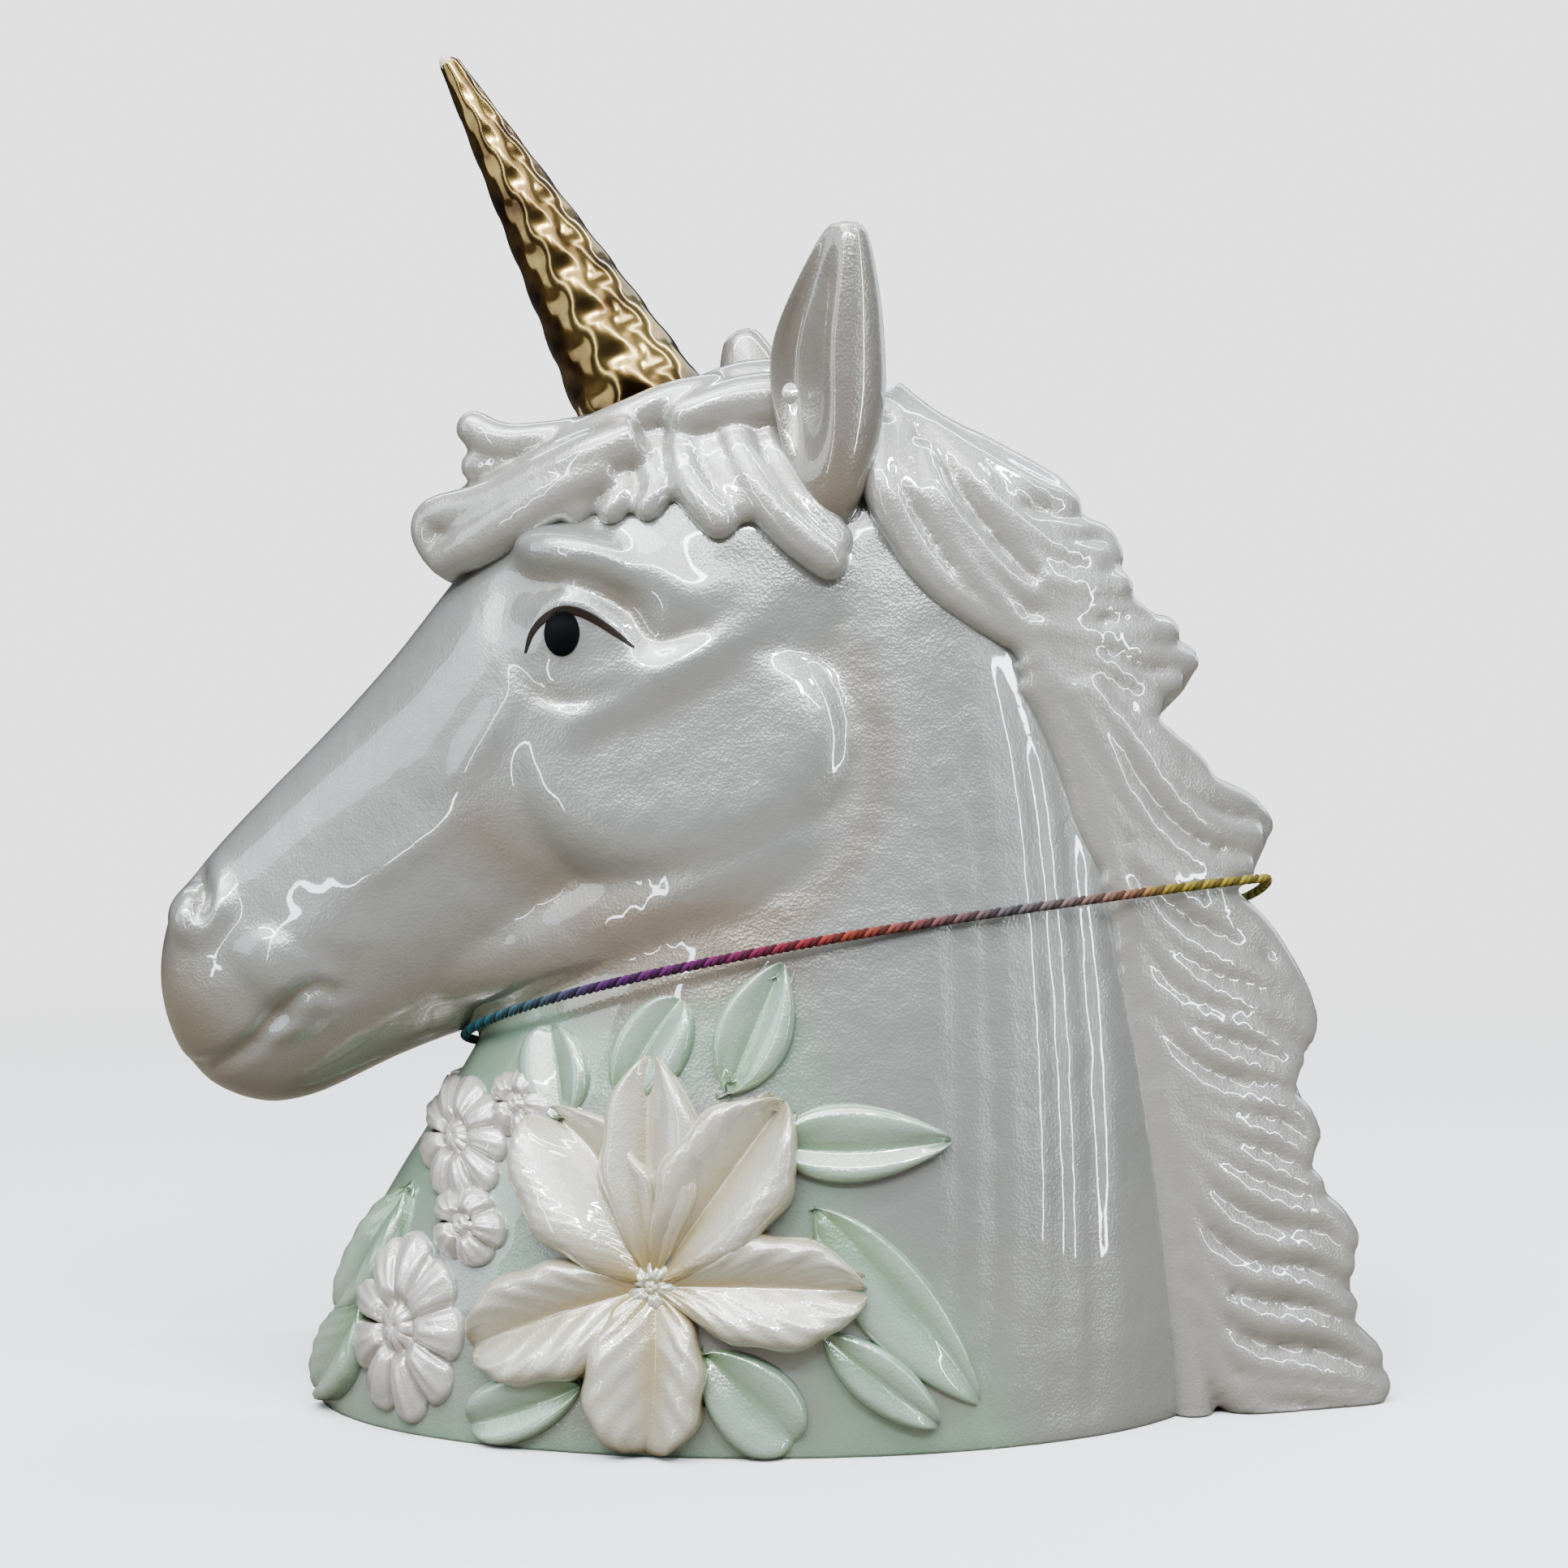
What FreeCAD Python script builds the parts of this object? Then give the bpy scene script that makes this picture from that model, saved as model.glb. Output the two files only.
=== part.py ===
"""Porcelain unicorn-head bust, slip-cast hollow as a coin bank, with sprigged flowers and a gilded horn.

Frame: millimetres, +Z up, origin on the resting plane under the middle of the object's box.
The unicorn faces -X, its left side is -Y. Each separately cast, pressed or moulded piece is
one named STEP file in parts/. Clay pieces are stuck to the shell with a thin coat of slip,
which is the slip_gap between them.
"""

import FreeCAD, Part  # noqa: E401  Part crashes if it is imported first
import math
import os
from dataclasses import dataclass

from FreeCAD import Vector

# ---------------------------------------------------------------- driving dimensions
bust_length = 172.0  # muzzle to the last curl of the mane, along X
bust_height = 188.4  # resting plane to the horn's tip
bust_width = 70.0  # across the neck at its foot

wall = 4.0  # slip-cast wall of the shell
floor_thickness = 4.0  # floor across the foot
foot_recess = 3.0  # how far the floor is set up from the resting plane
foot_rim = 7.0  # width of the dry foot rim, measured in from the outside
slip_gap = 0.1  # coat of slip between two clay pieces

slot_length = 25.0  # coin slot through the crest
slot_width = 5.0
plug_hole_radius = 14.0  # hole in the floor, for emptying the bank
plug_clearance = 0.05
plug_flange_radius = 17.5
plug_flange_thickness = 1.8
plug_length = 9.0  # part of the plug above its flange
plug_groove_depth = 1.0
plug_dish_radius = 8.0  # the stem is hollow above its floor
plug_dish_floor = 3.0

horn_length = 57.0  # from the forehead to the tip
horn_base_radius = 9.3
horn_tip_radius = 1.2
horn_root = 7.0  # tapered root set into the forehead

petal_relief = 5.0
leaf_relief = 2.6
daisy_relief = 3.2
forelock_relief = 3.0
tuft_half_width = 11.0
ear_wall = 1.9

yarn_diameter = 1.4
knot_radius = 1.8
knot_tails = (13.0, 10.0)  # trimmed ends below the knot

# The modelled forms below are drawn for the sizes in this block and follow the driving ones.
DRAWN_LENGTH, DRAWN_HEIGHT, DRAWN_WIDTH = 172.0, 188.4, 70.0
along = bust_length / DRAWN_LENGTH
rise = bust_height / DRAWN_HEIGHT
across = bust_width / DRAWN_WIDTH

OUT = Vector(0, -1, 0)  # away from the middle plane, on the unicorn's left
UP = Vector(0, 0, 1)
REACH = 80.0 * across  # past the side of everything
TOP = 1.2 * bust_height


def point(x, z, y=0.0):
    """A drawn point of the form, at the driving size."""
    return Vector(x * along, y * across, z * rise)


# ---------------------------------------------------------------- the body's sections
@dataclass
class Section:
    """One oval ring of the body: its middle, its half height (or half length) and half width."""

    middle: Vector
    half: Vector
    half_width: float

    def wire(self, grow=0.0, move=None):
        """The ring, grown outwards all round."""
        half = self.half * (1 + grow / self.half.Length)
        side = Vector(0, self.half_width + grow, 0)
        middle = self.middle + (move or Vector())
        steps = 12
        turns = [2 * math.pi * i / steps for i in range(steps)]
        ring = [middle + half * math.cos(t) + side * math.sin(t) for t in turns]
        curve = Part.BSplineCurve()
        curve.interpolate(Points=ring, PeriodicFlag=True)
        return Part.Wire([curve.toShape()])


def neck_section(z, front, back, half_width):
    """A level ring of the neck."""
    middle = point((front + back) / 2, z)
    return Section(middle, Vector((back - front) / 2 * along, 0, 0), half_width * across)


def head_section(top, bottom, half_width):
    """A ring of the head, from the nose line to the jaw line."""
    high, low = point(*top), point(*bottom)
    return Section((high + low) / 2, (high - low) / 2, half_width * across)


NECK = [
    neck_section(0, -64, 60, 35.0),
    neck_section(22, -59, 59.5, 33.4),
    neck_section(44, -45, 57.5, 29.8),
    neck_section(66, -33, 54, 25.4),
    neck_section(90, -19, 48, 21.2),
    neck_section(112, -11, 40, 17.8),
    neck_section(124, -7, 33.5, 14.8),
    neck_section(133, -1, 24, 9.0),
]
HEAD = [
    head_section((-86.0, 62.5), (-85.6, 54.5), 3.5),
    head_section((-84.0, 67.5), (-82.0, 48.5), 8.0),
    head_section((-78.5, 74.5), (-75.0, 41.5), 12.0),
    head_section((-69.0, 84.0), (-63.0, 41.5), 13.5),
    head_section((-57.0, 97.5), (-46.0, 50.3), 15.5),
    head_section((-45.0, 113.0), (-27.0, 56.0), 19.5),
    head_section((-33.0, 126.0), (-8.0, 61.5), 23.5),
    head_section((-16.0, 136.5), (9.0, 75.0), 24.5),
    head_section((3.0, 139.0), (21.0, 96.0), 20.0),
]
MANE_ENVELOPE = [
    neck_section(0, -91, 91, 20.0),
    neck_section(22, -88, 88, 20.5),
    neck_section(44, -80, 80, 21.5),
    neck_section(66, -72, 72, 22.0),
    neck_section(90, -65, 65, 21.5),
    neck_section(112, -56, 56, 22.5),
    neck_section(124, -47, 47, 19.5),
    neck_section(135, -33, 33, 14.0),
    neck_section(143, -22, 22, 9.0),
]


def loft(sections, grow=0.0, flat_foot=False):
    """A solid through the rings, grown all round; its ends move out too, but not a flat foot."""
    first = sections[0].middle - sections[1].middle
    last = sections[-1].middle - sections[-2].middle
    moves = [None] * len(sections)
    moves[0] = None if flat_foot else first.normalize() * grow
    moves[-1] = last.normalize() * grow
    wires = [s.wire(grow, m) for s, m in zip(sections, moves)]
    return Part.makeLoft(wires, True, False)


def box(x0, x1, y0, y1, z0, z1):
    """A box between two corners."""
    return Part.makeBox(x1 - x0, y1 - y0, z1 - z0, Vector(x0, y0, z0))


def above(z):
    """Everything higher than z."""
    return box(-bust_length, bust_length, -REACH, REACH, z, TOP)


def largest(shape):
    """The largest solid of a shape that may hold slivers."""
    return max(shape.Solids, key=lambda s: s.Volume)


def body(grow=0.0):
    """The neck and head as one solid form, grown all round."""
    return loft(NECK, grow, flat_foot=True).fuse(loft(HEAD, grow)).removeSplitter()


# ---------------------------------------------------------------- outlines in the side view
def arc(a, b, c):
    """An edge from a to c through b."""
    return Part.Arc(point(*a), point(*b), point(*c)).toShape()


def through(points):
    """A smooth edge through drawn points."""
    curve = Part.BSplineCurve()
    curve.interpolate(Points=[point(*p) for p in points])
    return curve.toShape()


def line(a, b):
    """A straight edge between two drawn points."""
    return Part.LineSegment(point(*a), point(*b)).toShape()


def face(edges):
    """A flat face in the side view, from edges in order."""
    return Part.Face(Part.Wire(Part.__sortEdges__(edges)))


def blade(foot, tip, half_width, fullest=0.5):
    """A pointed petal or leaf outline, widest at a share of its length."""
    (x0, z0), (x1, z1) = foot, tip
    length = math.hypot(x1 - x0, z1 - z0)
    ux, uz = (x1 - x0) / length, (z1 - z0) / length
    mx, mz = x0 + (x1 - x0) * fullest, z0 + (z1 - z0) * fullest
    one = (mx - uz * half_width, mz + ux * half_width)
    other = (mx + uz * half_width, mz - ux * half_width)
    return face([arc(foot, one, tip), arc(tip, other, foot)])


def scalloped(centre, radius_x, radius_z, petals):
    """A daisy's outline: round petal ends about an oval."""
    cx, cz = centre
    notch = 0.86  # the notches lie at this share of the radius

    def at(turn, share):
        return cx + radius_x * share * math.cos(turn), cz + radius_z * share * math.sin(turn)

    step = 2 * math.pi / petals
    arcs = []
    for i in range(petals):
        a, b, c = i * step, (i + 0.5) * step, (i + 1) * step
        arcs.append(arc(at(a, notch), at(b, 1.0), at(c, notch)))
    return face(arcs)


# ---------------------------------------------------------------- shell, horn and ears
def slot_cutter():
    """The coin slot's upright stadium, from inside the neck to above the crest."""
    half = slot_width / 2
    middle = point(22.0, 104.0)
    run = slot_length / 2 - half
    core = box(middle.x - run, middle.x + run, -half, half, middle.z, TOP)
    for end in (-run, run):
        foot = Vector(middle.x + end, 0, middle.z)
        core = core.fuse(Part.makeCylinder(half, TOP - middle.z, foot))
    return core.removeSplitter()


def plug_axis(z):
    """A point on the plug's upright axis, in the middle of the foot."""
    return Vector(NECK[0].middle.x, 0, z)


def bust_shell(solid_body):
    """The hollow casting of head, neck and chest, with its floor, foot rim, slot and plug hole."""
    floor_top = foot_recess + floor_thickness
    cavity = loft(NECK, -wall, flat_foot=True).fuse(loft(HEAD[1:], -wall))
    shell = solid_body.cut(cavity.common(above(floor_top)))
    recess = loft(NECK, -foot_rim, flat_foot=True).cut(above(foot_recess))
    hole = Part.makeCylinder(plug_hole_radius, 2 * floor_top, plug_axis(-1.0))
    return largest(shell.cut(recess).cut(hole).cut(slot_cutter()))


HORN_FOOT = point(-18.5, 137.5)
HORN_TIP = point(-46.5, 187.5)


def horn_blank(grow=0.0):
    """The horn before its foot is cut to the forehead: a cone with a rounded tip and a root."""
    axis = (HORN_TIP - HORN_FOOT).normalize()
    slope = (horn_base_radius - horn_tip_radius) / horn_length
    cone = Part.makeCone(
        horn_base_radius + slope * horn_root + grow,
        horn_tip_radius + grow,
        horn_length + horn_root,
        HORN_FOOT - axis * horn_root,
        axis,
    )
    return cone.fuse(Part.makeSphere(horn_tip_radius + grow, HORN_FOOT + axis * horn_length))


def ear_blank(grow=0.0):
    """The left ear's leaf shape: level ovals from its root to its tip."""
    rings = [
        ((7.0, 121.0), -13.5, 4.6, 4.6),
        ((6.8, 132.0), -15.5, 7.8, 5.6),
        ((7.4, 144.0), -17.2, 8.3, 5.0),
        ((8.6, 153.5), -18.6, 5.6, 3.4),
        ((9.6, 160.3), -19.6, 2.2, 1.5),
    ]
    return Part.makeLoft([ear_ring(*r, grow) for r in rings], True, False)


def ear_ring(at, y, half_x, half_y, grow):
    """One level oval of an ear."""
    section = Section(point(at[0], at[1], y), Vector(half_x * along, 0, 0), half_y * across)
    return section.wire(grow)


def ear_hollow():
    """What is scooped out of the left ear: its own form, thinner, and moved outwards and forwards."""
    scoop = ear_blank(-ear_wall / 2)
    scoop.translate(Vector(-ear_wall * 0.8, -ear_wall * 1.9, ear_wall * 0.2))
    return scoop.common(above(point(0, 131.0).z))


def left_ear(cutter):
    """The left ear, scooped, with its root seated on the head."""
    return largest(ear_blank().cut(ear_hollow()).cut(cutter))


RIGHT_EAR_PITCH = -24.0  # the right ear is pricked forwards
RIGHT_EAR_SEAT = point(-0.5, -5.0)  # and seated lower


def right_ear(cutter):
    """The right ear: the left one's mirror image, pitched forwards about its root."""
    blank = ear_blank().cut(ear_hollow()).mirror(Vector(), Vector(0, 1, 0))
    blank.rotate(point(7.0, 124.0), Vector(0, 1, 0), RIGHT_EAR_PITCH)
    blank.translate(RIGHT_EAR_SEAT)
    return largest(blank.cut(cutter))


# ---------------------------------------------------------------- hair
def mane_outline():
    """The mane in the side view: crest, nine curls down the back, foot, and its edge on the neck."""
    notches = [
        (40.5, 126.0),
        (42.4, 121.3),
        (48.0, 111.5),
        (56.0, 107.0),
        (54.2, 93.7),
        (64.4, 68.6),
        (72.4, 43.4),
        (75.0, 30.0),
        (81.0, 10.9),
    ]
    tips = [
        (43.0, 123.6),
        (48.6, 118.0),
        (54.0, 109.4),
        (60.0, 102.0),
        (68.6, 80.0),
        (75.2, 54.0),
        (76.2, 36.0),
        (82.2, 18.0),
    ]
    edges = [arc((4.0, 141.5), (27.9, 133.0), notches[0])]
    edges += [arc(a, t, b) for a, t, b in zip(notches, tips, notches[1:])]
    edges.append(arc(notches[-1], (84.6, 5.5), (86.0, 0.0)))
    edges.append(line((86.0, 0.0), (54.5, 0.0)))
    inner = [
        (54.5, 0.0),
        (49.5, 35.0),
        (45.5, 63.0),
        (41.5, 87.0),
        (32.5, 104.0),
        (21.0, 113.5),
        (10.0, 120.0),
    ]
    edges.append(through(inner))
    edges.append(line(inner[-1], (4.0, 141.5)))
    return face(edges)


def mane(cutters):
    """The mane: a crest that wraps the back of the neck, with the coin slot through it."""
    slab = mane_outline().extrude(OUT * 2 * REACH)
    slab.translate(-OUT * REACH)
    crest = slab.common(loft(MANE_ENVELOPE, flat_foot=True))
    for cutter in cutters:
        crest = crest.cut(cutter)
    return largest(crest.cut(slot_cutter()))


def forelock_outline():
    """The forelock in the side view, with two curls that stand clear of the forehead."""
    front = [
        arc((-22.0, 136.0), (-34.0, 134.0), (-41.0, 136.3)),
        arc((-41.0, 136.3), (-45.3, 134.0), (-44.0, 126.8)),
        arc((-44.0, 126.8), (-50.3, 121.0), (-44.9, 112.6)),
    ]
    hem = [
        arc((-44.9, 112.6), (-34.7, 116.8), (-27.2, 124.0)),
        arc((-27.2, 124.0), (-22.0, 119.8), (-16.7, 121.6)),
        arc((-16.7, 121.6), (-11.0, 117.2), (-7.0, 117.6)),
        arc((-7.0, 117.6), (2.0, 112.2), (9.0, 113.0)),
        line((9.0, 113.0), (10.0, 120.0)),
    ]
    crown = [
        line((10.0, 120.0), (8.0, 146.0)),
        arc((8.0, 146.0), (-8.0, 144.5), (-22.0, 136.0)),
    ]
    return face(front + hem + crown)


def forelock(solid_body, cutters):
    """The forelock: thin over the forehead and thick in the curls in front of it."""
    slab = forelock_outline().extrude(OUT * 2 * REACH)
    slab.translate(-OUT * REACH)
    skin = loft(HEAD, forelock_relief)
    half = tuft_half_width * across
    curls = box(-bust_length, bust_length, -half, half, 0, TOP)
    hair = slab.common(skin.fuse(curls))
    for cutter in cutters:
        hair = hair.cut(cutter)
    return largest(hair)


# ---------------------------------------------------------------- sprigs on the chest
LILY = (-15.6, 21.0)


def petal(turn, length, half_width):
    """A lily petal's outline, from the lily's middle."""
    angle = math.radians(turn)
    foot = (LILY[0] + 1.5 * math.cos(angle), LILY[1] + 1.5 * math.sin(angle))
    tip = (LILY[0] + length * math.cos(angle), LILY[1] + length * math.sin(angle))
    return blade(foot, tip, half_width, 0.56)


def sprig_outlines():
    """Each sprig of one side as (name, outline, relief), uppermost first."""
    heart = Part.Face(Part.Wire([Part.Circle(point(*LILY), OUT, 3.2).toShape()]))
    found = [("lily_heart", heart, petal_relief)]
    petals = [(126, 24.5, 8.2), (54, 28.0, 7.6), (-1, 26.5, 7.0), (267, 20.2, 7.6), (201, 24.0, 7.0), (88, 27.0, 6.4)]
    for i, (turn, length, half_width) in enumerate(petals, 1):
        found.append((f"lily_petal_{i}", petal(turn, length, half_width), petal_relief))
    found += [
        ("daisy_low", scalloped((-48.5, 13.4), 8.4, 12.4, 9), daisy_relief),
        ("daisy_high", scalloped((-41.8, 37.3), 6.6, 8.0, 9), daisy_relief),
        ("blossom_middle", scalloped((-40.0, 26.9), 5.4, 5.0, 5), daisy_relief),
        ("blossom_high", scalloped((-33.6, 42.4), 4.4, 4.8, 5), daisy_relief),
    ]
    leaves = [
        ("leaf_upright", (-6.0, 45.0), (1.2, 62.0), 5.2),
        ("leaf_side", (0.0, 39.0), (23.0, 39.2), 5.2),
        ("leaf_sweeping", (5.0, 31.0), (26.5, 5.5), 5.4),
        ("leaf_tongue", (6.0, 15.5), (21.0, 3.4), 3.6),
        ("leaf_foot_back", (-9.0, 13.0), (2.6, 1.6), 5.4),
        ("leaf_foot_front", (-24.5, 8.6), (-39.5, 2.6), 4.0),
        ("leaf_throat_back", (-20.0, 44.0), (-12.0, 57.0), 4.8),
        ("leaf_throat_front", (-28.0, 41.0), (-30.0, 53.0), 4.8),
        ("leaf_front_high", (-50.0, 29.0), (-62.0, 11.5), 4.6),
        ("leaf_front_low", (-57.0, 14.0), (-68.0, 0.6), 4.6),
    ]
    for name, foot, tip, half_width in leaves:
        found.append((name, blade(foot, tip, half_width), leaf_relief))
    return found


SPRIG_FOOT = 0.6  # the sprigs end this far above the resting plane


def sprigs(cutter):
    """Every sprig of the left side: its outline less those above it, pressed on to the neck."""
    taken = None
    skins = {r: loft(NECK, r, flat_foot=True) for r in (petal_relief, leaf_relief, daisy_relief)}
    made = {}
    for name, outline, relief in sprig_outlines():
        free = outline if taken is None else outline.cut(taken)
        taken = outline if taken is None else taken.fuse(outline)
        prism = free.extrude(OUT * REACH)
        kept = above(SPRIG_FOOT)
        sprig = prism.common(skins[relief]).common(kept).cut(cutter)
        if not sprig.Solids:  # at some sizes the same shape only comes out in the other order
            sprig = prism.cut(cutter).common(skins[relief]).common(kept)
        made[name] = largest(sprig)
    return made


# ---------------------------------------------------------------- plug
def plug():
    """The soft rubber plug: a flange under the floor and a grooved, hollow stem in the hole."""
    under = foot_recess - plug_flange_thickness
    radius = plug_hole_radius - plug_clearance
    flange = Part.makeCylinder(plug_flange_radius, plug_flange_thickness, plug_axis(under))
    stem = Part.makeCylinder(radius, plug_length, plug_axis(foot_recess))
    whole = flange.fuse(stem)
    groove_height = 1.2
    for level in (1.4, 4.4):
        outer = Part.makeCylinder(radius + 1, groove_height, plug_axis(foot_recess + level))
        inner = Part.makeCylinder(radius - plug_groove_depth, groove_height, plug_axis(foot_recess + level))
        whole = whole.cut(outer.cut(inner))
    dish = Part.makeCylinder(plug_dish_radius, plug_length, plug_axis(foot_recess + plug_dish_floor))
    thumb = Part.makeCylinder(plug_flange_radius / 3, plug_flange_thickness / 2, plug_axis(under))
    return whole.cut(dish).cut(thumb).removeSplitter()


# ---------------------------------------------------------------- yarn
# The yarn is pulled tight round the throat and mane, in one plane that falls forwards and to the right.
YARN_LEVEL, YARN_RISE_BACK, YARN_FALL_RIGHT = 57.7, 0.186, 0.22
YARN_ROUTE = [
    (28.6, 27.4),
    (9.7, 33.8),
    (-17.0, 34.0),
    (-39.0, 21.0),
    (-44.5, 5.5),
    (-44.5, -5.0),
    (-33.2, -19.2),
    (-13.2, -27.0),
    (18.1, -27.0),
    (66.4, -11.1),
    (68.4, -5.2),
    (68.4, 4.6),
    (65.1, 12.6),
    (31.4, 26.26),
]


def yarn_point(x, y):
    """A point of the yarn's plane."""
    return point(x, YARN_LEVEL + YARN_RISE_BACK * x - YARN_FALL_RIGHT * y, y)


def rounded_path(corners):
    """Straight runs joined by tangent arcs, each as large as its two runs allow."""
    edges = []
    start = corners[0]
    for before, corner, after in zip(corners, corners[1:], corners[2:]):
        back, ahead = before - corner, after - corner
        reach = 0.45 * min(back.Length, ahead.Length)
        half_turn = (math.pi - back.getAngle(ahead)) / 2
        radius = reach / math.tan(half_turn)
        print("yarn arc", round(radius, 1), "mm")
        enter, leave = corner + back.normalize() * reach, corner + ahead.normalize() * reach
        bisector = (back + ahead).normalize()
        middle = corner + bisector * (radius / math.cos(half_turn) - radius)
        edges.append(Part.LineSegment(start, enter).toShape())
        edges.append(Part.Arc(enter, middle, leave).toShape())
        start = leave
    edges.append(Part.LineSegment(start, corners[-1]).toShape())
    return Part.Wire(edges)


def tube(path):
    """The yarn's round section, swept along a path."""
    start = path.Edges[0]
    section = Part.Circle(start.valueAt(start.FirstParameter), start.tangentAt(start.FirstParameter), yarn_diameter / 2)
    return path.makePipeShell([Part.Wire([section.toShape()])], True, True)


def yarn_loop():
    """The yarn, from the knot round the throat and mane and back to the knot."""
    path = rounded_path([yarn_point(*p) for p in YARN_ROUTE])
    loop = tube(path)
    print("yarn length", path.Length, "volume share", loop.Volume / (path.Length * math.pi * yarn_diameter**2 / 4))
    return loop


def yarn_knot():
    """The knot on the right of the neck, between the yarn's two ends, with its trimmed ends."""
    finish, start = yarn_point(*YARN_ROUTE[-1]), yarn_point(*YARN_ROUTE[0])
    through_knot = start - finish
    knot = Part.makeCylinder(knot_radius, through_knot.Length, finish, through_knot.normalize())
    middle = (start + finish) / 2
    for side, length in zip((-1, 1), knot_tails):
        lean = Vector(side * 0.16, 0.14, -1).normalize()
        foot = middle + Vector(side * knot_radius / 3, 0, 0)
        knot = knot.fuse(Part.makeCylinder(yarn_diameter / 2, length, foot, lean))
    return largest(knot.removeSplitter())


def main():
    """Builds every piece and writes one STEP file for each."""
    os.makedirs("parts", exist_ok=True)
    solid_body = body()
    cutter = body(slip_gap)
    pieces = {"bust_shell": bust_shell(solid_body)}
    horn_cutter = horn_blank(slip_gap)
    pieces["horn"] = largest(horn_blank().cut(cutter))
    pieces["left_ear"] = left_ear(cutter)
    pieces["right_ear"] = right_ear(cutter)
    ears = [pieces["left_ear"], pieces["right_ear"]]
    pieces["forelock"] = forelock(solid_body, [cutter, horn_cutter, *ears])
    pieces["mane"] = mane([cutter, pieces["forelock"], *ears])
    for name, sprig in sprigs(cutter).items():
        pieces[f"left_{name}"] = sprig
        pieces[f"right_{name}"] = sprig.mirror(Vector(), Vector(0, 1, 0))
    pieces["plug"] = plug()
    pieces["neck_yarn"] = yarn_loop()
    pieces["yarn_knot"] = yarn_knot()
    for name, piece in pieces.items():
        if not piece.isValid():
            print("not valid:", name)
        piece.exportStep(f"parts/{name}.step")
    whole = Part.makeCompound(list(pieces.values())).BoundBox
    print("pieces", len(pieces), "x", whole.XMin, whole.XMax, "y", whole.YMin, whole.YMax, "z", whole.ZMin, whole.ZMax)


main()
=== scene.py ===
"""Porcelain unicorn-head bust with a gilded horn, sprigged flowers and yarn tied round its throat.

Sizes in the classes are millimetres in the part's own frame: +Z up, the unicorn faces -X and its
left side is -Y. Meshes are written in metres.
"""

from __future__ import annotations

import logging
import math
from contextlib import contextmanager
from dataclasses import dataclass, replace
from enum import Enum
from typing import Callable, Iterator, Sequence

import bpy
import numpy as np
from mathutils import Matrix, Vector
from mathutils.bvhtree import BVHTree
from mathutils.kdtree import KDTree


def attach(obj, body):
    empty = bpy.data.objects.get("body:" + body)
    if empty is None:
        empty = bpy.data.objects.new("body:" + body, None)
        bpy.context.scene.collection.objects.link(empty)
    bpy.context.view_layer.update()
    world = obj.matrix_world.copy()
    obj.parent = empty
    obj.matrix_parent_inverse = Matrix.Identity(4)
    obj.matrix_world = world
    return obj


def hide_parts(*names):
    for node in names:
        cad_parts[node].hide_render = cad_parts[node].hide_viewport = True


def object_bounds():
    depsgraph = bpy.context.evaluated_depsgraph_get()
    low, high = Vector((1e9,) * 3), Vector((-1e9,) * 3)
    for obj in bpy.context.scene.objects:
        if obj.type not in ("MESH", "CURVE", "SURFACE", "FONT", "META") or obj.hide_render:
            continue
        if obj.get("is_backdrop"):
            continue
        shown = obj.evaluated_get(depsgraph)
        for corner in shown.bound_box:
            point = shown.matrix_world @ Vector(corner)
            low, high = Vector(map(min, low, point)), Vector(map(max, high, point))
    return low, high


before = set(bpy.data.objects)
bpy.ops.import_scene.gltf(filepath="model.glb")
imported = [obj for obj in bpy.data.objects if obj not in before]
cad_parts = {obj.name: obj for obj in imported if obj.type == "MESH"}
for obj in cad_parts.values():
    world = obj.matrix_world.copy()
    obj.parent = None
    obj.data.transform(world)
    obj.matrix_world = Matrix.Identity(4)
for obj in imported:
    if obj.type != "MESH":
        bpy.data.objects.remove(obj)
CAD_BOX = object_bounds()

logging.basicConfig(level=logging.INFO, format="%(message)s")
log = logging.getLogger("bust")

MM = 0.001
Point = tuple[float, float]
Point3 = tuple[float, float, float]
Colour = tuple[float, float, float]
Roll = tuple[Sequence[Point3], Sequence[float]]
Line = tuple[float, float, tuple[Point, ...]]
Lamp = tuple[str, Point3, Point3, Point, float]
LOWEST = 0.4  # millimetres over the resting plane, for what is pressed on to the chest


# ------------------------------------------------------------------ working with objects
def alone(obj: bpy.types.Object) -> bpy.types.Object:
    """Selects one object and nothing else.

    Args:
        obj: the object to work on.

    Returns:
        The same object.
    """
    bpy.ops.object.select_all(action="DESELECT")
    obj.select_set(True)
    bpy.context.view_layer.objects.active = obj
    return obj


def settled(obj: bpy.types.Object) -> bpy.types.Object:
    """Applies the object's place, turn and scale to its mesh."""
    alone(obj)
    bpy.ops.object.transform_apply(location=True, rotation=True, scale=True)
    return obj


@contextmanager
def editing(obj: bpy.types.Object) -> Iterator[None]:
    """Edit mode on one object, with its whole mesh selected."""
    alone(obj)
    bpy.ops.object.mode_set(mode="EDIT")
    bpy.ops.mesh.select_all(action="SELECT")
    yield
    bpy.ops.object.mode_set(mode="OBJECT")


def turn_faces_out() -> None:
    """Turns every face of the mesh that is in edit mode outwards."""
    bpy.ops.mesh.select_all(action="SELECT")
    bpy.ops.mesh.normals_make_consistent(inside=False)


def cut_level(obj: bpy.types.Object, height: float) -> None:
    """Cuts away what lies under a height in millimetres, and closes the cut."""
    with editing(obj):
        bpy.ops.mesh.bisect(plane_co=(0, 0, height * MM), plane_no=(0, 0, 1), use_fill=True, clear_inner=True)


def joined(name: str, parts: Sequence[bpy.types.Object]) -> bpy.types.Object:
    """Joins several objects into one of this name."""
    alone(parts[0])
    for part in parts:
        part.select_set(True)
    bpy.ops.object.join()
    parts[0].name = name
    return parts[0]


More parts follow.
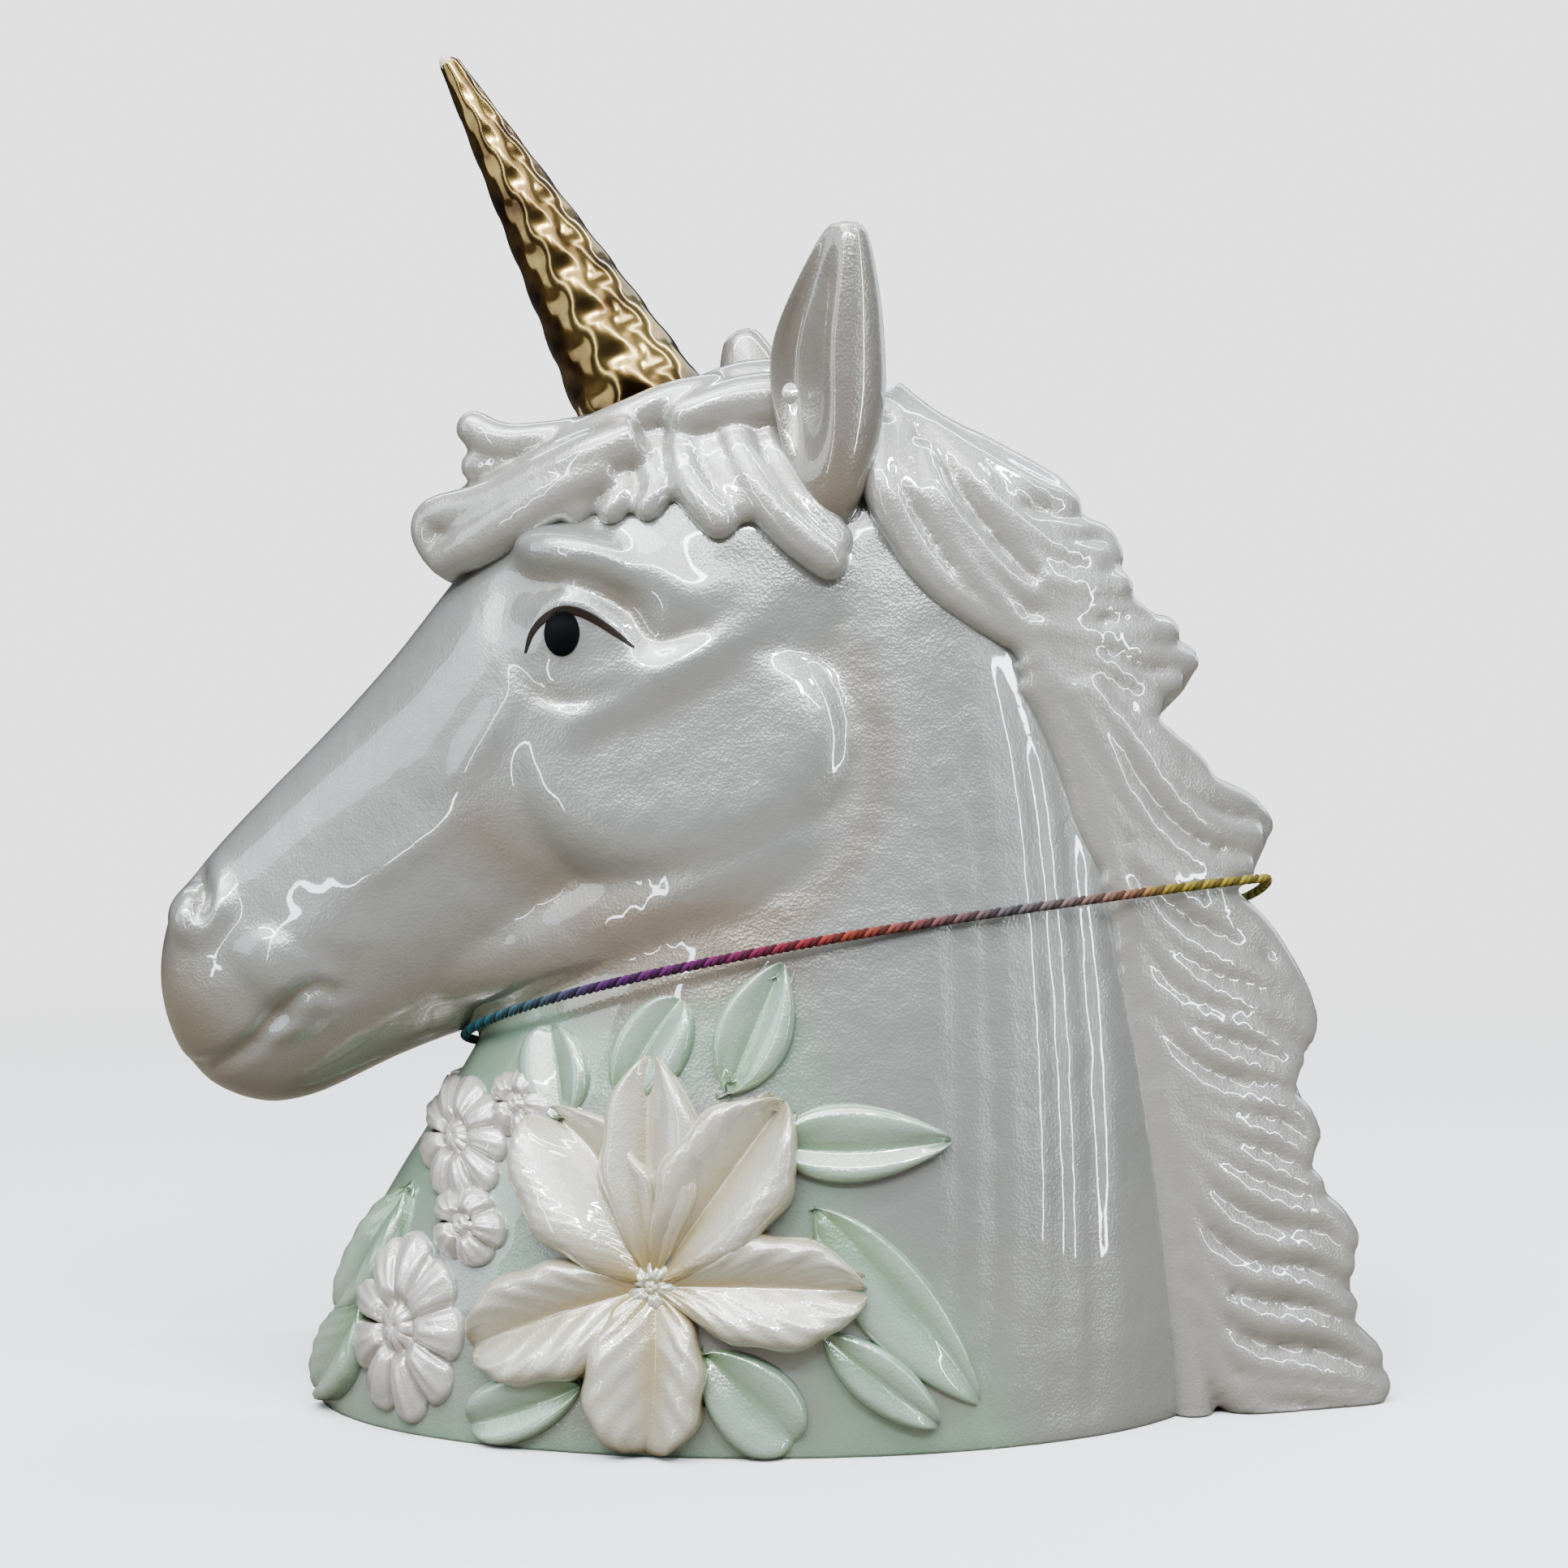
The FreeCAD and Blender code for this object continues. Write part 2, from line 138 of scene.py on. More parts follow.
def modified(obj: bpy.types.Object, kind: str, **settings: object) -> bpy.types.Object:
    """Adds a modifier and applies it.

    Args:
        obj: the object.
        kind: Blender's name of the modifier's type.
        settings: the modifier's own settings.

    Returns:
        The same object.
    """
    alone(obj)
    modifier = obj.modifiers.new(kind.title(), kind)
    for key, value in settings.items():
        setattr(modifier, key, value)
    bpy.ops.object.modifier_apply(modifier=modifier.name)
    return obj


def uneven(obj: bpy.types.Object, size: float, depth: float) -> bpy.types.Object:
    """Makes a surface faintly wavy, as glaze over slip-cast clay is.

    Args:
        obj: the object.
        size: how far apart the waves are, in metres.
        depth: how deep they are, in metres.

    Returns:
        The same object.
    """
    clouds = bpy.data.textures.new("waves", "CLOUDS")
    clouds.noise_scale = size
    clouds.noise_depth = 1
    return modified(obj, "DISPLACE", texture=clouds, strength=depth, mid_level=0.5, texture_coords="LOCAL")


def coordinates(obj: bpy.types.Object) -> np.ndarray:
    """The mesh's points in millimetres, one row each."""
    flat = np.empty(3 * len(obj.data.vertices))
    obj.data.vertices.foreach_get("co", flat)
    return flat.reshape(-1, 3) / MM


def move_points(obj: bpy.types.Object, points: np.ndarray) -> None:
    """Puts the mesh's points at these places, in millimetres."""
    obj.data.vertices.foreach_set("co", (points * MM).ravel())
    obj.data.update()


def point_normals(obj: bpy.types.Object) -> np.ndarray:
    """The mesh's outward direction at each point."""
    flat = np.empty(3 * len(obj.data.vertices))
    obj.data.vertices.foreach_get("normal", flat)
    return flat.reshape(-1, 3)


def mirrored(obj: bpy.types.Object, name: str) -> bpy.types.Object:
    """A copy on the other side of the middle plane, facing outwards."""
    mesh = obj.data.copy()
    twin = bpy.data.objects.new(name, mesh)
    bpy.context.collection.objects.link(twin)
    points = coordinates(twin)
    points[:, 1] *= -1
    move_points(twin, points)
    mesh.flip_normals()
    return twin


def finished(obj: bpy.types.Object, body: str, nodes: Sequence[str], slot: str) -> None:
    """Shades a piece smooth and ties it to the frame.

    Args:
        obj: the piece.
        body: the body that it rides on.
        nodes: the nodes that it stands for.
        slot: the record's material slot; not used.
    """
    alone(obj)
    bpy.ops.object.shade_smooth()
    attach(obj, body)
    if nodes:
        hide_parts(*nodes)
    log.info("%s: %d faces, for %s", obj.name, len(obj.data.polygons), ", ".join(nodes) or "nothing in CAD")


# ------------------------------------------------------------------ clay forms
@dataclass(frozen=True)
class Ring:
    """An oval section between two points of the side view.

    Args:
        one: a point of the outline.
        other: the point across from it.
        half_width: half the width, across the middle plane.
    """

    one: Point
    other: Point
    half_width: float

    def circle(self) -> bpy.types.Object:
        """Adds the ring as a circle at its place and size."""
        dx, dz = self.one[0] - self.other[0], self.one[1] - self.other[1]
        centre = ((self.one[0] + self.other[0]) / 2 * MM, 0.0, (self.one[1] + self.other[1]) / 2 * MM)
        bpy.ops.mesh.primitive_circle_add(vertices=48, radius=1.0, location=centre)
        ring = bpy.context.object
        ring.rotation_euler = (0.0, math.atan2(-dz, dx), 0.0)
        ring.scale = (math.hypot(dx, dz) / 2 * MM, self.half_width * MM, MM)
        return settled(ring)


def level_ring(z: float, front: float, back: float, half_width: float) -> Ring:
    """A level oval section of the neck."""
    return Ring((back, z), (front, z), half_width)


def oval_form(name: str, rings: Sequence[Ring], rounding: int = 2) -> bpy.types.Object:
    """A closed form through oval rings, bridged one to the next and rounded by subdivision."""
    form = bridged(name, [ring.circle() for ring in rings])
    if rounding:
        modified(form, "SUBSURF", levels=rounding, render_levels=rounding)
    return form


def ball(centre: Point3, radii: Point3, pitch: float = 0.0) -> bpy.types.Object:
    """An egg of clay, pitched in the side view by an angle in degrees."""
    place = [c * MM for c in centre]
    bpy.ops.mesh.primitive_uv_sphere_add(segments=48, ring_count=24, radius=1.0, location=place)
    egg = bpy.context.object
    egg.scale = [r * MM for r in radii]
    egg.rotation_euler = (0.0, math.radians(pitch), 0.0)
    return settled(egg)


def ball_pair(centre: Point3, radii: Point3, pitch: float = 0.0) -> list[bpy.types.Object]:
    """The same egg on both sides of the middle plane."""
    x, y, z = centre
    return [ball((x, y, z), radii, pitch), ball((x, -y, z), radii, pitch)]


def rolls(name: str, lines: Sequence[Roll]) -> bpy.types.Object:
    """Rolls of clay along smooth lines, each thick at its points as given, with rounded tips.

    Args:
        name: the object's name.
        lines: for each roll its points and its radii there.

    Returns:
        One mesh of closed tubes.
    """
    curve = bpy.data.curves.new(name, "CURVE")
    curve.dimensions = "3D"
    curve.bevel_depth = MM
    curve.bevel_resolution = 5
    curve.use_fill_caps = True
    curve.resolution_u = 8
    for points, radii in lines:
        ends = [Vector(p) for p in points]
        ahead = (ends[-1] - ends[-2]).normalized()
        ends += [ends[-1] + ahead * radii[-1] * 0.55, ends[-1] + ahead * radii[-1] * 0.9]
        sizes = [*radii, radii[-1] * 0.84, radii[-1] * 0.42]
        spline = curve.splines.new("BEZIER")
        spline.bezier_points.add(len(ends) - 1)
        for knot, place, size in zip(spline.bezier_points, ends, sizes):
            knot.co = place * MM
            knot.radius = size
            knot.handle_left_type = knot.handle_right_type = "AUTO"
    return meshed(name, curve)


def meshed(name: str, curve: bpy.types.Curve) -> bpy.types.Object:
    """Turns a curve into an object with a mesh of the same shape."""
    obj = bpy.data.objects.new(name, curve)
    bpy.context.collection.objects.link(obj)
    alone(obj)
    bpy.ops.object.convert(target="MESH")
    return bpy.context.object


def on_side(roll: Roll, side: int) -> Roll:
    """The same roll on the side where side is 1, or mirrored on to the other where it is -1."""
    points, radii = roll
    return [(x, side * y, z) for x, y, z in points], list(radii)


def fused(obj: bpy.types.Object, grain: float, strokes: int) -> bpy.types.Object:
    """Fuses overlapping forms into one skin and sponges it smooth.

    Args:
        obj: the joined forms.
        grain: the size of the skin's faces, in millimetres.
        strokes: how often it is sponged.

    Returns:
        The same object.
    """
    modified(obj, "REMESH", mode="VOXEL", voxel_size=grain * MM)
    return modified(obj, "SMOOTH", factor=0.5, iterations=strokes)


@dataclass(frozen=True)
class Stroke:
    """A tool's stroke across the clay, in the side view, the same on both sides.

    Args:
        line: the points that it goes through.
        width: how wide it is to either side.
        height: how far it raises the clay, or sinks it if negative.
        spread: the share of the height at its two ends.
    """

    line: tuple[Point, ...]
    width: float
    height: float
    spread: float = 1.0

    def lift(self, points: np.ndarray) -> np.ndarray:
        """How far each point rises, in millimetres."""
        line = smooth_line(self.line, 8)
        best = np.full(len(points), 1e9)
        share = np.zeros(len(points))
        count = len(line) - 1
        for i, (a, b) in enumerate(zip(line, line[1:])):
            along = b - a
            t = np.clip(((points - a) @ along) / max(along @ along, 1e-9), 0, 1)
            gap = np.linalg.norm(points - a - t[:, None] * along, axis=1)
            nearer = gap < best
            best[nearer] = gap[nearer]
            share[nearer] = ((i + t) / count)[nearer]
        ends = self.spread + (1 - self.spread) * np.sin(np.pi * share)
        return self.height * ends * np.exp(-((best / self.width) ** 2))


def smooth_line(points: Sequence[Sequence[float]], steps: int) -> np.ndarray:
    """Points along a smooth line through the given ones."""
    given = np.array(points, float)
    if len(given) < 3:
        return given
    ends = np.vstack([2 * given[0] - given[1], given, 2 * given[-1] - given[-2]])
    found = []
    for p0, p1, p2, p3 in zip(ends, ends[1:], ends[2:], ends[3:]):
        for t in np.arange(steps) / steps:
            bend = (2 * p0 - 5 * p1 + 4 * p2 - p3) * t * t + (3 * p1 - p0 - 3 * p2 + p3) * t**3
            found.append(p1 + 0.5 * ((p2 - p0) * t + bend))
    return np.array([*found, given[-1]])


def worked(obj: bpy.types.Object, strokes: Sequence[Stroke], inner: float) -> bpy.types.Object:
    """Raises and sinks the skin along its normals by a set of strokes.

    Args:
        obj: the piece.
        strokes: the tool's strokes.
        inner: the half width of the strip along the middle plane that is left alone.

    Returns:
        The same object.
    """
    points = coordinates(obj)
    lift = sum(stroke.lift(points[:, [0, 2]]) for stroke in strokes)
    lift *= np.clip((np.abs(points[:, 1]) - inner) / 3.0, 0, 1)
    for name, part in (("raised", np.clip(lift, 0, None)), ("sunk", np.clip(-lift, 0, None))):
        top = part.max()
        if top <= 0:
            continue
        group = obj.vertex_groups.new(name=name)
        for index in np.flatnonzero(part > 0.004):
            group.add([int(index)], float(part[index] / top), "REPLACE")
        sign = 1 if name == "raised" else -1
        modified(obj, "DISPLACE", vertex_group=name, strength=sign * top * MM, mid_level=0.0)
    obj.vertex_groups.clear()
    return obj


def hollows(obj: bpy.types.Object, reach: int, depth: float) -> np.ndarray:
    """How sunken each point is, from 0 on open clay to 1 in a crease.

    Args:
        obj: the piece.
        reach: how many rings of neighbours are looked at.
        depth: the depth, in millimetres, that counts as a full crease.

    Returns:
        One share for each point.
    """
    points = coordinates(obj)
    edges = np.empty(2 * len(obj.data.edges), int)
    obj.data.edges.foreach_get("vertices", edges)
    a, b = edges.reshape(-1, 2).T
    count = np.bincount(a, minlength=len(points)) + np.bincount(b, minlength=len(points))
    level = points.copy()
    for _ in range(reach):
        total = np.empty_like(level)
        for axis in range(3):
            column = level[:, axis]
            total[:, axis] = np.bincount(a, column[b], len(points)) + np.bincount(b, column[a], len(points))
        level = total / np.maximum(count, 1)[:, None]
    sunk = np.einsum("ij,ij->i", level - points, point_normals(obj))
    return np.clip(sunk / depth, 0, 1)


def painted(obj: bpy.types.Object, hollow_pool_and_shade: np.ndarray, peach_and_shade: np.ndarray, green: np.ndarray) -> None:
    """Stores, as the attribute "glaze", the pooled glaze with painted shade in hollows, the peach wash with
    painted shade and the green wash.
    """
    store_colours(obj, "glaze", np.column_stack([hollow_pool_and_shade, peach_and_shade, green, np.ones(len(hollow_pool_and_shade))]))


def store_colours(obj: bpy.types.Object, name: str, colours: np.ndarray) -> None:
    """Stores a colour with alpha at each point of the mesh, under this name."""
    layer = obj.data.color_attributes.new(name, "FLOAT_COLOR", "POINT")
    layer.data.foreach_set("color", colours.ravel())


# ------------------------------------------------------------------ finishes
@dataclass(frozen=True)
class Glaze:
    """A glossy porcelain glaze under a mother-of-pearl lustre.

    Args:
        name: the material's name.
        body: its colour on open clay.
        pool: its colour where it pools in a hollow, which also paints the shade in creases.
        peach_and_shade: the warm wash, dark enough to paint the shade under the jaw as well.
        green: the green wash.
        grain: how strongly the lustre sparkles.
        pearl: how much of the light the lustre throws back like a metal.
    """

    name: str
    body: Colour
    # the pool and peach colours also paint shade: in creases, under the jaw and along the cheek's rim
    pool: Colour = (0.20, 0.165, 0.12)
    peach_and_shade: Colour = (0.17, 0.115, 0.075)
    green: Colour = (0.21, 0.33, 0.23)
    grain: float = 0.42
    pearl: float = 0.22

    def material(self) -> bpy.types.Material:
        """Builds the material.

        Returns:
            A glossy coat over a grainy, faintly iridescent layer.
        """
        material, tree, shader = blank_material(self.name)
        wash = tree.nodes.new("ShaderNodeGroup")
        wash.node_tree = glaze_wash_group()
        washes = {"Body": self.body, "Pool_and_shade": self.pool, "Peach_and_shade": self.peach_and_shade, "Green": self.green}
        set_sockets(wash, {socket: (*colour, 1.0) for socket, colour in washes.items()})
        tree.links.new(wash.outputs["Colour"], shader.inputs["Base Color"])
        sparkle = tree.nodes.new("ShaderNodeGroup")
        sparkle.node_tree = lustre_grain_group()
        sparkle.inputs["Strength"].default_value = self.grain
        tree.links.new(sparkle.outputs["Normal"], shader.inputs["Normal"])
        settings = {
            "Metallic": self.pearl,
            "Roughness": 0.28,
            "IOR": 1.6,
            "Specular IOR Level": 0.8,
            "Coat Weight": 1.0,
            "Coat Roughness": 0.03,
            "Coat IOR": 1.85,
            "Thin Film Thickness": 380.0,
            "Thin Film IOR": 1.9,
        }
        set_sockets(shader, settings)
        return material


@dataclass(frozen=True)
class Plain:
    """An even finish with one colour.

    Args:
        name: the material's name.
        colour: its colour.
        roughness: how matt it is.
        metallic: 1 for a metal.
        coat: the share of clear coat.
        mottle: how much darker its darker spots are.
        mottle_scale: how many spots there are to a metre.
        specular: how strongly it mirrors, where 0.5 is ordinary paint.
    """

    name: str
    colour: Colour
    roughness: float
    metallic: float = 0.0
    coat: float = 0.0
    mottle: float = 0.12
    mottle_scale: float = 900.0
    specular: float = 0.5

    def material(self) -> bpy.types.Material:
        """Builds the material, with a fine mottle in its colour and its surface."""
        material, tree, shader = blank_material(self.name)
        mottle = noise(tree, self.mottle_scale, 3.0)
        dark = tuple(channel * (1 - self.mottle) for channel in self.colour)
        tree.links.new(two_tone(tree, mottle, dark, self.colour), shader.inputs["Base Color"])
        tree.links.new(bumped(tree, mottle, 0.3, 0.00005), shader.inputs["Normal"])
        settings = {
            "Roughness": self.roughness,
            "Metallic": self.metallic,
            "Coat Weight": self.coat,
            "Coat Roughness": 0.03,
            "Specular IOR Level": self.specular,
        }
        set_sockets(shader, settings)
        return material


def blank_material(name: str) -> tuple[bpy.types.Material, bpy.types.NodeTree, bpy.types.Node]:
    """A new material with one Principled shader.

    Args:
        name: the material's name.

    Returns:
        The material, its node tree and the shader.
    """
    material = bpy.data.materials.new(name)
    material.use_nodes = True
    return material, material.node_tree, material.node_tree.nodes["Principled BSDF"]


def set_sockets(node: bpy.types.Node, settings: dict[str, object]) -> None:
    """Sets a node's own sockets by name."""
    for name, value in settings.items():
        node.inputs[name].default_value = value


def noise(tree: bpy.types.NodeTree, scale: float, detail: float = 2.0) -> bpy.types.NodeSocket:
    """Soft noise in the object's own space, with this many spots to a metre."""
    place = tree.nodes.new("ShaderNodeTexCoord")
    texture = tree.nodes.new("ShaderNodeTexNoise")
    set_sockets(texture, {"Scale": scale, "Detail": detail})
    tree.links.new(place.outputs["Object"], texture.inputs["Vector"])
    return texture.outputs["Fac"]


def two_tone(
    tree: bpy.types.NodeTree, share: bpy.types.NodeSocket, dark: Colour, light: Colour
) -> bpy.types.NodeSocket:
    """Turns noise into spots of two colours that run into each other."""
    ramp = tree.nodes.new("ShaderNodeValToRGB")
    for element, spot, colour in zip(ramp.color_ramp.elements, (0.35, 0.65), (dark, light)):
        element.position, element.color = spot, (*colour, 1.0)
    tree.links.new(share, ramp.inputs["Fac"])
    return ramp.outputs["Color"]


def bumped(
    tree: bpy.types.NodeTree, height: bpy.types.NodeSocket, strength: float, distance: float
) -> bpy.types.NodeSocket:
    """Bumps a surface by a height; the distance is in metres."""
    bump = tree.nodes.new("ShaderNodeBump")
    set_sockets(bump, {"Strength": strength, "Distance": distance})
    tree.links.new(height, bump.inputs["Height"])
    return bump.outputs["Normal"]


def mixed(
    tree: bpy.types.NodeTree,
    share: bpy.types.NodeSocket,
    one: bpy.types.NodeSocket,
    other: bpy.types.NodeSocket,
) -> bpy.types.NodeSocket:
    """Mixes two shaders, from all of the first where the share is 0 to all of the other where it is 1."""
    mix = tree.nodes.new("ShaderNodeMixShader")
    for place, source in enumerate((share, one, other)):
        tree.links.new(source, mix.inputs[place])
    return mix.outputs["Shader"]


def new_group(name: str, sockets: Sequence[tuple[str, str, str]]) -> bpy.types.NodeTree:
    """A shader node group with its sockets.

    Args:
        name: the group's name.
        sockets: name, direction and type of each socket.

    Returns:
        The empty group.
    """
    group = bpy.data.node_groups.new(name, "ShaderNodeTree")
    for label, way, kind in sockets:
        group.interface.new_socket(label, in_out=way, socket_type=kind)
    return group


def glaze_wash_group() -> bpy.types.NodeTree:
    """The group that lays the washes and the pooled glaze, both partly painted shade, over the body colour,
    built once.
    """
    if "Glaze wash" in bpy.data.node_groups:
        return bpy.data.node_groups["Glaze wash"]
    colours = [(label, "INPUT", "NodeSocketColor") for label in ("Body", "Pool_and_shade", "Peach_and_shade", "Green")]
    group = new_group("Glaze wash", [*colours, ("Colour", "OUTPUT", "NodeSocketColor")])
    nodes, links = group.nodes, group.links
    source, sink = nodes.new("NodeGroupInput"), nodes.new("NodeGroupOutput")
    stored = nodes.new("ShaderNodeAttribute")
    stored.attribute_name = "glaze"
    split = nodes.new("ShaderNodeSeparateColor")
    links.new(stored.outputs["Color"], split.inputs["Color"])
    colour = source.outputs["Body"]
    for label, channel in (("Peach_and_shade", "Green"), ("Green", "Blue"), ("Pool_and_shade", "Red")):
        mix = nodes.new("ShaderNodeMix")
        mix.data_type = "RGBA"
        links.new(split.outputs[channel], mix.inputs["Factor"])
        links.new(colour, mix.inputs["A"])
        links.new(source.outputs[label], mix.inputs["B"])
        colour = mix.outputs["Result"]
    links.new(colour, sink.inputs["Colour"])
    return group


def lustre_grain_group() -> bpy.types.NodeTree:
    """The group with the crystals of the lustre over the ripples of the glaze, as a normal, built once."""
    if "Lustre grain" in bpy.data.node_groups:
        return bpy.data.node_groups["Lustre grain"]
    sockets = [("Strength", "INPUT", "NodeSocketFloat"), ("Normal", "OUTPUT", "NodeSocketVector")]
    group = new_group("Lustre grain", sockets)
    nodes, links = group.nodes, group.links
    source, sink = nodes.new("NodeGroupInput"), nodes.new("NodeGroupOutput")
    place = nodes.new("ShaderNodeTexCoord")
    crystals = nodes.new("ShaderNodeTexVoronoi")
    crystals.inputs["Scale"].default_value = 2400.0
    links.new(place.outputs["Object"], crystals.inputs["Vector"])
    fine = nodes.new("ShaderNodeBump")
    fine.inputs["Distance"].default_value = 0.0001
    links.new(source.outputs["Strength"], fine.inputs["Strength"])
    links.new(crystals.outputs["Distance"], fine.inputs["Height"])
    ripples = noise(group, 150.0, 2.5)
    ripples.node.inputs["Roughness"].default_value = 0.55
    links.new(bumped(group, ripples, 1.0, 0.00032), fine.inputs["Normal"])
    links.new(fine.outputs["Normal"], sink.inputs["Normal"])
    return group


class Side(Enum):
    """The unicorn's own left and right."""

    LEFT = "left"
    RIGHT = "right"


# ------------------------------------------------------------------ head, neck and chest
@dataclass
class Bust:
    """The hollow casting of head, neck and chest."""

    grain: float = 0.78
    neck: tuple[Ring, ...] = (
        level_ring(-5, -65.0, 60, 35.2),
        level_ring(0, -64.0, 60, 35.0),
        level_ring(11, -61.8, 60, 34.4),
        level_ring(22, -58.4, 59.5, 33.2),
        level_ring(33, -51.6, 58.5, 31.6),
        level_ring(44, -44.8, 57.5, 29.6),
        level_ring(55, -38.6, 56, 27.4),
        level_ring(66, -33, 54, 25.2),
        level_ring(78, -26, 51.5, 22.8),
        level_ring(90, -19, 48, 20.8),
        level_ring(102, -14, 44.5, 19.0),
        level_ring(112, -11, 40, 17.6),
        level_ring(123, -7, 33.5, 14.8),
        level_ring(132, -1, 24, 9.6),
    )
    head: tuple[Ring, ...] = (
        Ring((-85.8, 61.0), (-85.6, 55.0), 3.4),
        Ring((-84.9, 67.0), (-83.6, 48.0), 8.6),
        Ring((-81.6, 72.6), (-79.4, 42.8), 11.2),
        Ring((-75.3, 79.8), (-72.4, 39.8), 12.2),
        Ring((-67.6, 87.6), (-64.2, 40.8), 12.8),
        Ring((-59.6, 95.8), (-54.2, 46.6), 13.8),
        Ring((-51.6, 105.0), (-43.5, 50.6), 15.8),
        Ring((-44.2, 115.0), (-31.0, 54.0), 18.4),
        Ring((-36.6, 124.0), (-18.0, 58.0), 20.2),
        Ring((-27.6, 131.5), (-5.0, 62.5), 20.8),
        Ring((-17.0, 136.5), (8.0, 71.0), 20.6),
        Ring((-5.0, 138.5), (20.0, 84.0), 18.5),
        Ring((5.0, 138.0), (26.0, 100.0), 14.0),
    )
    cheek: Point3 = (-12.0, 0.0, 88.2)
    cheek_radius: float = 23.2
    cheek_width: float = 21.6
    cheek_lean: float = 5.5
    cheek_depth: float = 40.0
    cheek_rim: float = 9.0
    eyeball: tuple[Point3, Point3, float] = (-27.6, -11.6, 104.2), (8.4, 8.4, 7.6), -30
    brow: tuple[Point3, Point3, float] = (-23.0, -12.0, 113.0), (13.5, 8.2, 5.4), 22
    nostril: tuple[Point3, Point3, float] = (-79.0, -5.4, 66.5), (4.2, 6.6, 6.4), 20
    muzzle: tuple[Point3, Point3, float] = (-66.0, -4.0, 60.0), (13.0, 10.4, 9.0), 30
    upper_lid: Roll = (
        (
            (-33.6, 15.6, 102.6),
            (-32.2, 17.2, 106.6),
            (-28.6, 18.6, 109.3),
            (-23.6, 19.2, 108.2),
            (-18.0, 19.6, 103.4),
        ),
        (0.5, 0.9, 1.1, 1.0, 0.6),
    )
    lower_lid: Roll = (
        ((-33.2, 15.8, 101.8), (-30.0, 17.2, 99.8), (-26.5, 18.2, 99.2), (-22.0, 19.0, 100.8)),
        (0.4, 0.7, 0.7, 0.5),
    )
    jaw_edge: Roll = (
        (
            (-52, 3.0, 60.5),
            (-40, 5.2, 61.5),
            (-30, 8.2, 63.5),
            (-19, 11.6, 67.0),
            (-8, 14.2, 71.5),
            (3, 15.2, 77.0),
        ),
        (6.8, 8.0, 9.0, 9.5, 9.5, 8.5),
    )
    flute_depths: tuple[float, ...] = (-0.45, -0.6, -0.4, -0.65, -0.6)
    tooling: tuple[Stroke, ...] = (
        # round the eye: in front of it, over the lid, the brow, the bone below and the lower lid's crease
        Stroke(((-37, 104), (-36, 110), (-31.5, 113.2)), 2.4, -0.8, 0.3),
        Stroke(((-30, 112.6), (-24, 111.5), (-19, 108), (-16.0, 104.2), (-10.5, 105.4)), 2.2, -1.6, 0.3),
        Stroke(((-32, 116.4), (-25, 116.6), (-18, 114.4), (-12, 110.0), (-5, 110.4)), 3.0, 0.8, 0.3),
        Stroke(((-27, 95.0), (-18, 98.0), (-12, 100.6), (-5.0, 104.6), (-0.5, 110.0)), 2.8, 1.0, 0.2),
        Stroke(((-34.5, 101), (-31, 97.2), (-25, 96.2), (-18, 98.6)), 1.5, -0.7, 0.3),
        # the two ridges down the face
        Stroke(((-35, 97), (-39.5, 90), (-43.0, 84.0)), 2.0, 0.6, 0.2),
        Stroke(((-41, 81), (-49, 76.2), (-58, 70.4)), 2.2, 0.6, 0.2),
        # the nostril's slit and its two rims
        Stroke(((-79.4, 72.2), (-78.0, 70.0), (-78.4, 67.4)), 1.1, -2.2, 0.5),
        Stroke(((-81.6, 71.0), (-82.2, 67.6), (-80.8, 64.6)), 1.6, 0.7, 0.4),
        Stroke(((-76.4, 73.4), (-75.6, 68.0), (-78.0, 63.8)), 1.5, 1.0, 0.4),
        # the mouth, the lower lip and the fold over the mouth's corner
        Stroke(
            ((-82.4, 45.2), (-77.0, 46.4), (-71.5, 49.6), (-67.2, 54.2), (-62.6, 57.4), (-59.6, 56.8)),
            1.2,
            -1.6,
            0.7,
        ),
        Stroke(((-69.0, 50.6), (-66.2, 51.6), (-63.6, 52.4)), 1.4, 1.0, 0.6),
        Stroke(((-70, 62), (-62, 65.0), (-54, 63.0)), 3.4, 0.7, 0.2),
    )
    # the peach wash; the strokes under the jaw, under the cheek and along the cheek's back rim are painted shade
    # as well
    peach_and_shade: tuple[Stroke, ...] = (
        Stroke(((-86, 50), (-79, 42), (-68, 39), (-56, 45), (-42, 52), (-24, 57), (-6, 62)), 8.5, 0.9),
        Stroke(((-40, 79), (-32, 73), (-20, 67), (-8, 65)), 4.0, 0.6),
        Stroke(((-8, 65), (4, 69), (11.5, 78), (14, 90), (11, 102)), 2.2, 0.5),
        Stroke(((-84, 62), (-78, 52)), 5.0, 0.35),
    )
    green: tuple[Stroke, ...] = (
        Stroke(((-68, 1), (-60, 18), (-50, 30), (-40, 46), (-33, 52)), 6.0, 0.8),
        Stroke(((-34, 50), (-22, 48), (-12, 50), (-3, 56)), 5.0, 0.85),
        Stroke(((2, 50), (3, 44), (7, 34), (4, 28), (16, 22), (25, 10), (29, -2)), 4.2, 0.6),
        Stroke(((-60, -2), (-30, -1), (0, -1), (24, -1)), 5.0, 0.9),
        Stroke(((-38, 32), (-34, 20), (-36, 8)), 5.0, 0.8),
        Stroke(((8, 10), (14, 4)), 5.0, 0.8),
    )
    foot_front: float = -57.0
    foot_back: float = 53.0
    foot_half_width: float = 28.0
    foot_recess: float = 3.0
    wall: float = 4.0
    floor_top: float = 7.0
    floor_front: float = -62.4
    floor_back: float = 60
    plug_hole: float = 14.0
    plug_centre: float = -2.0

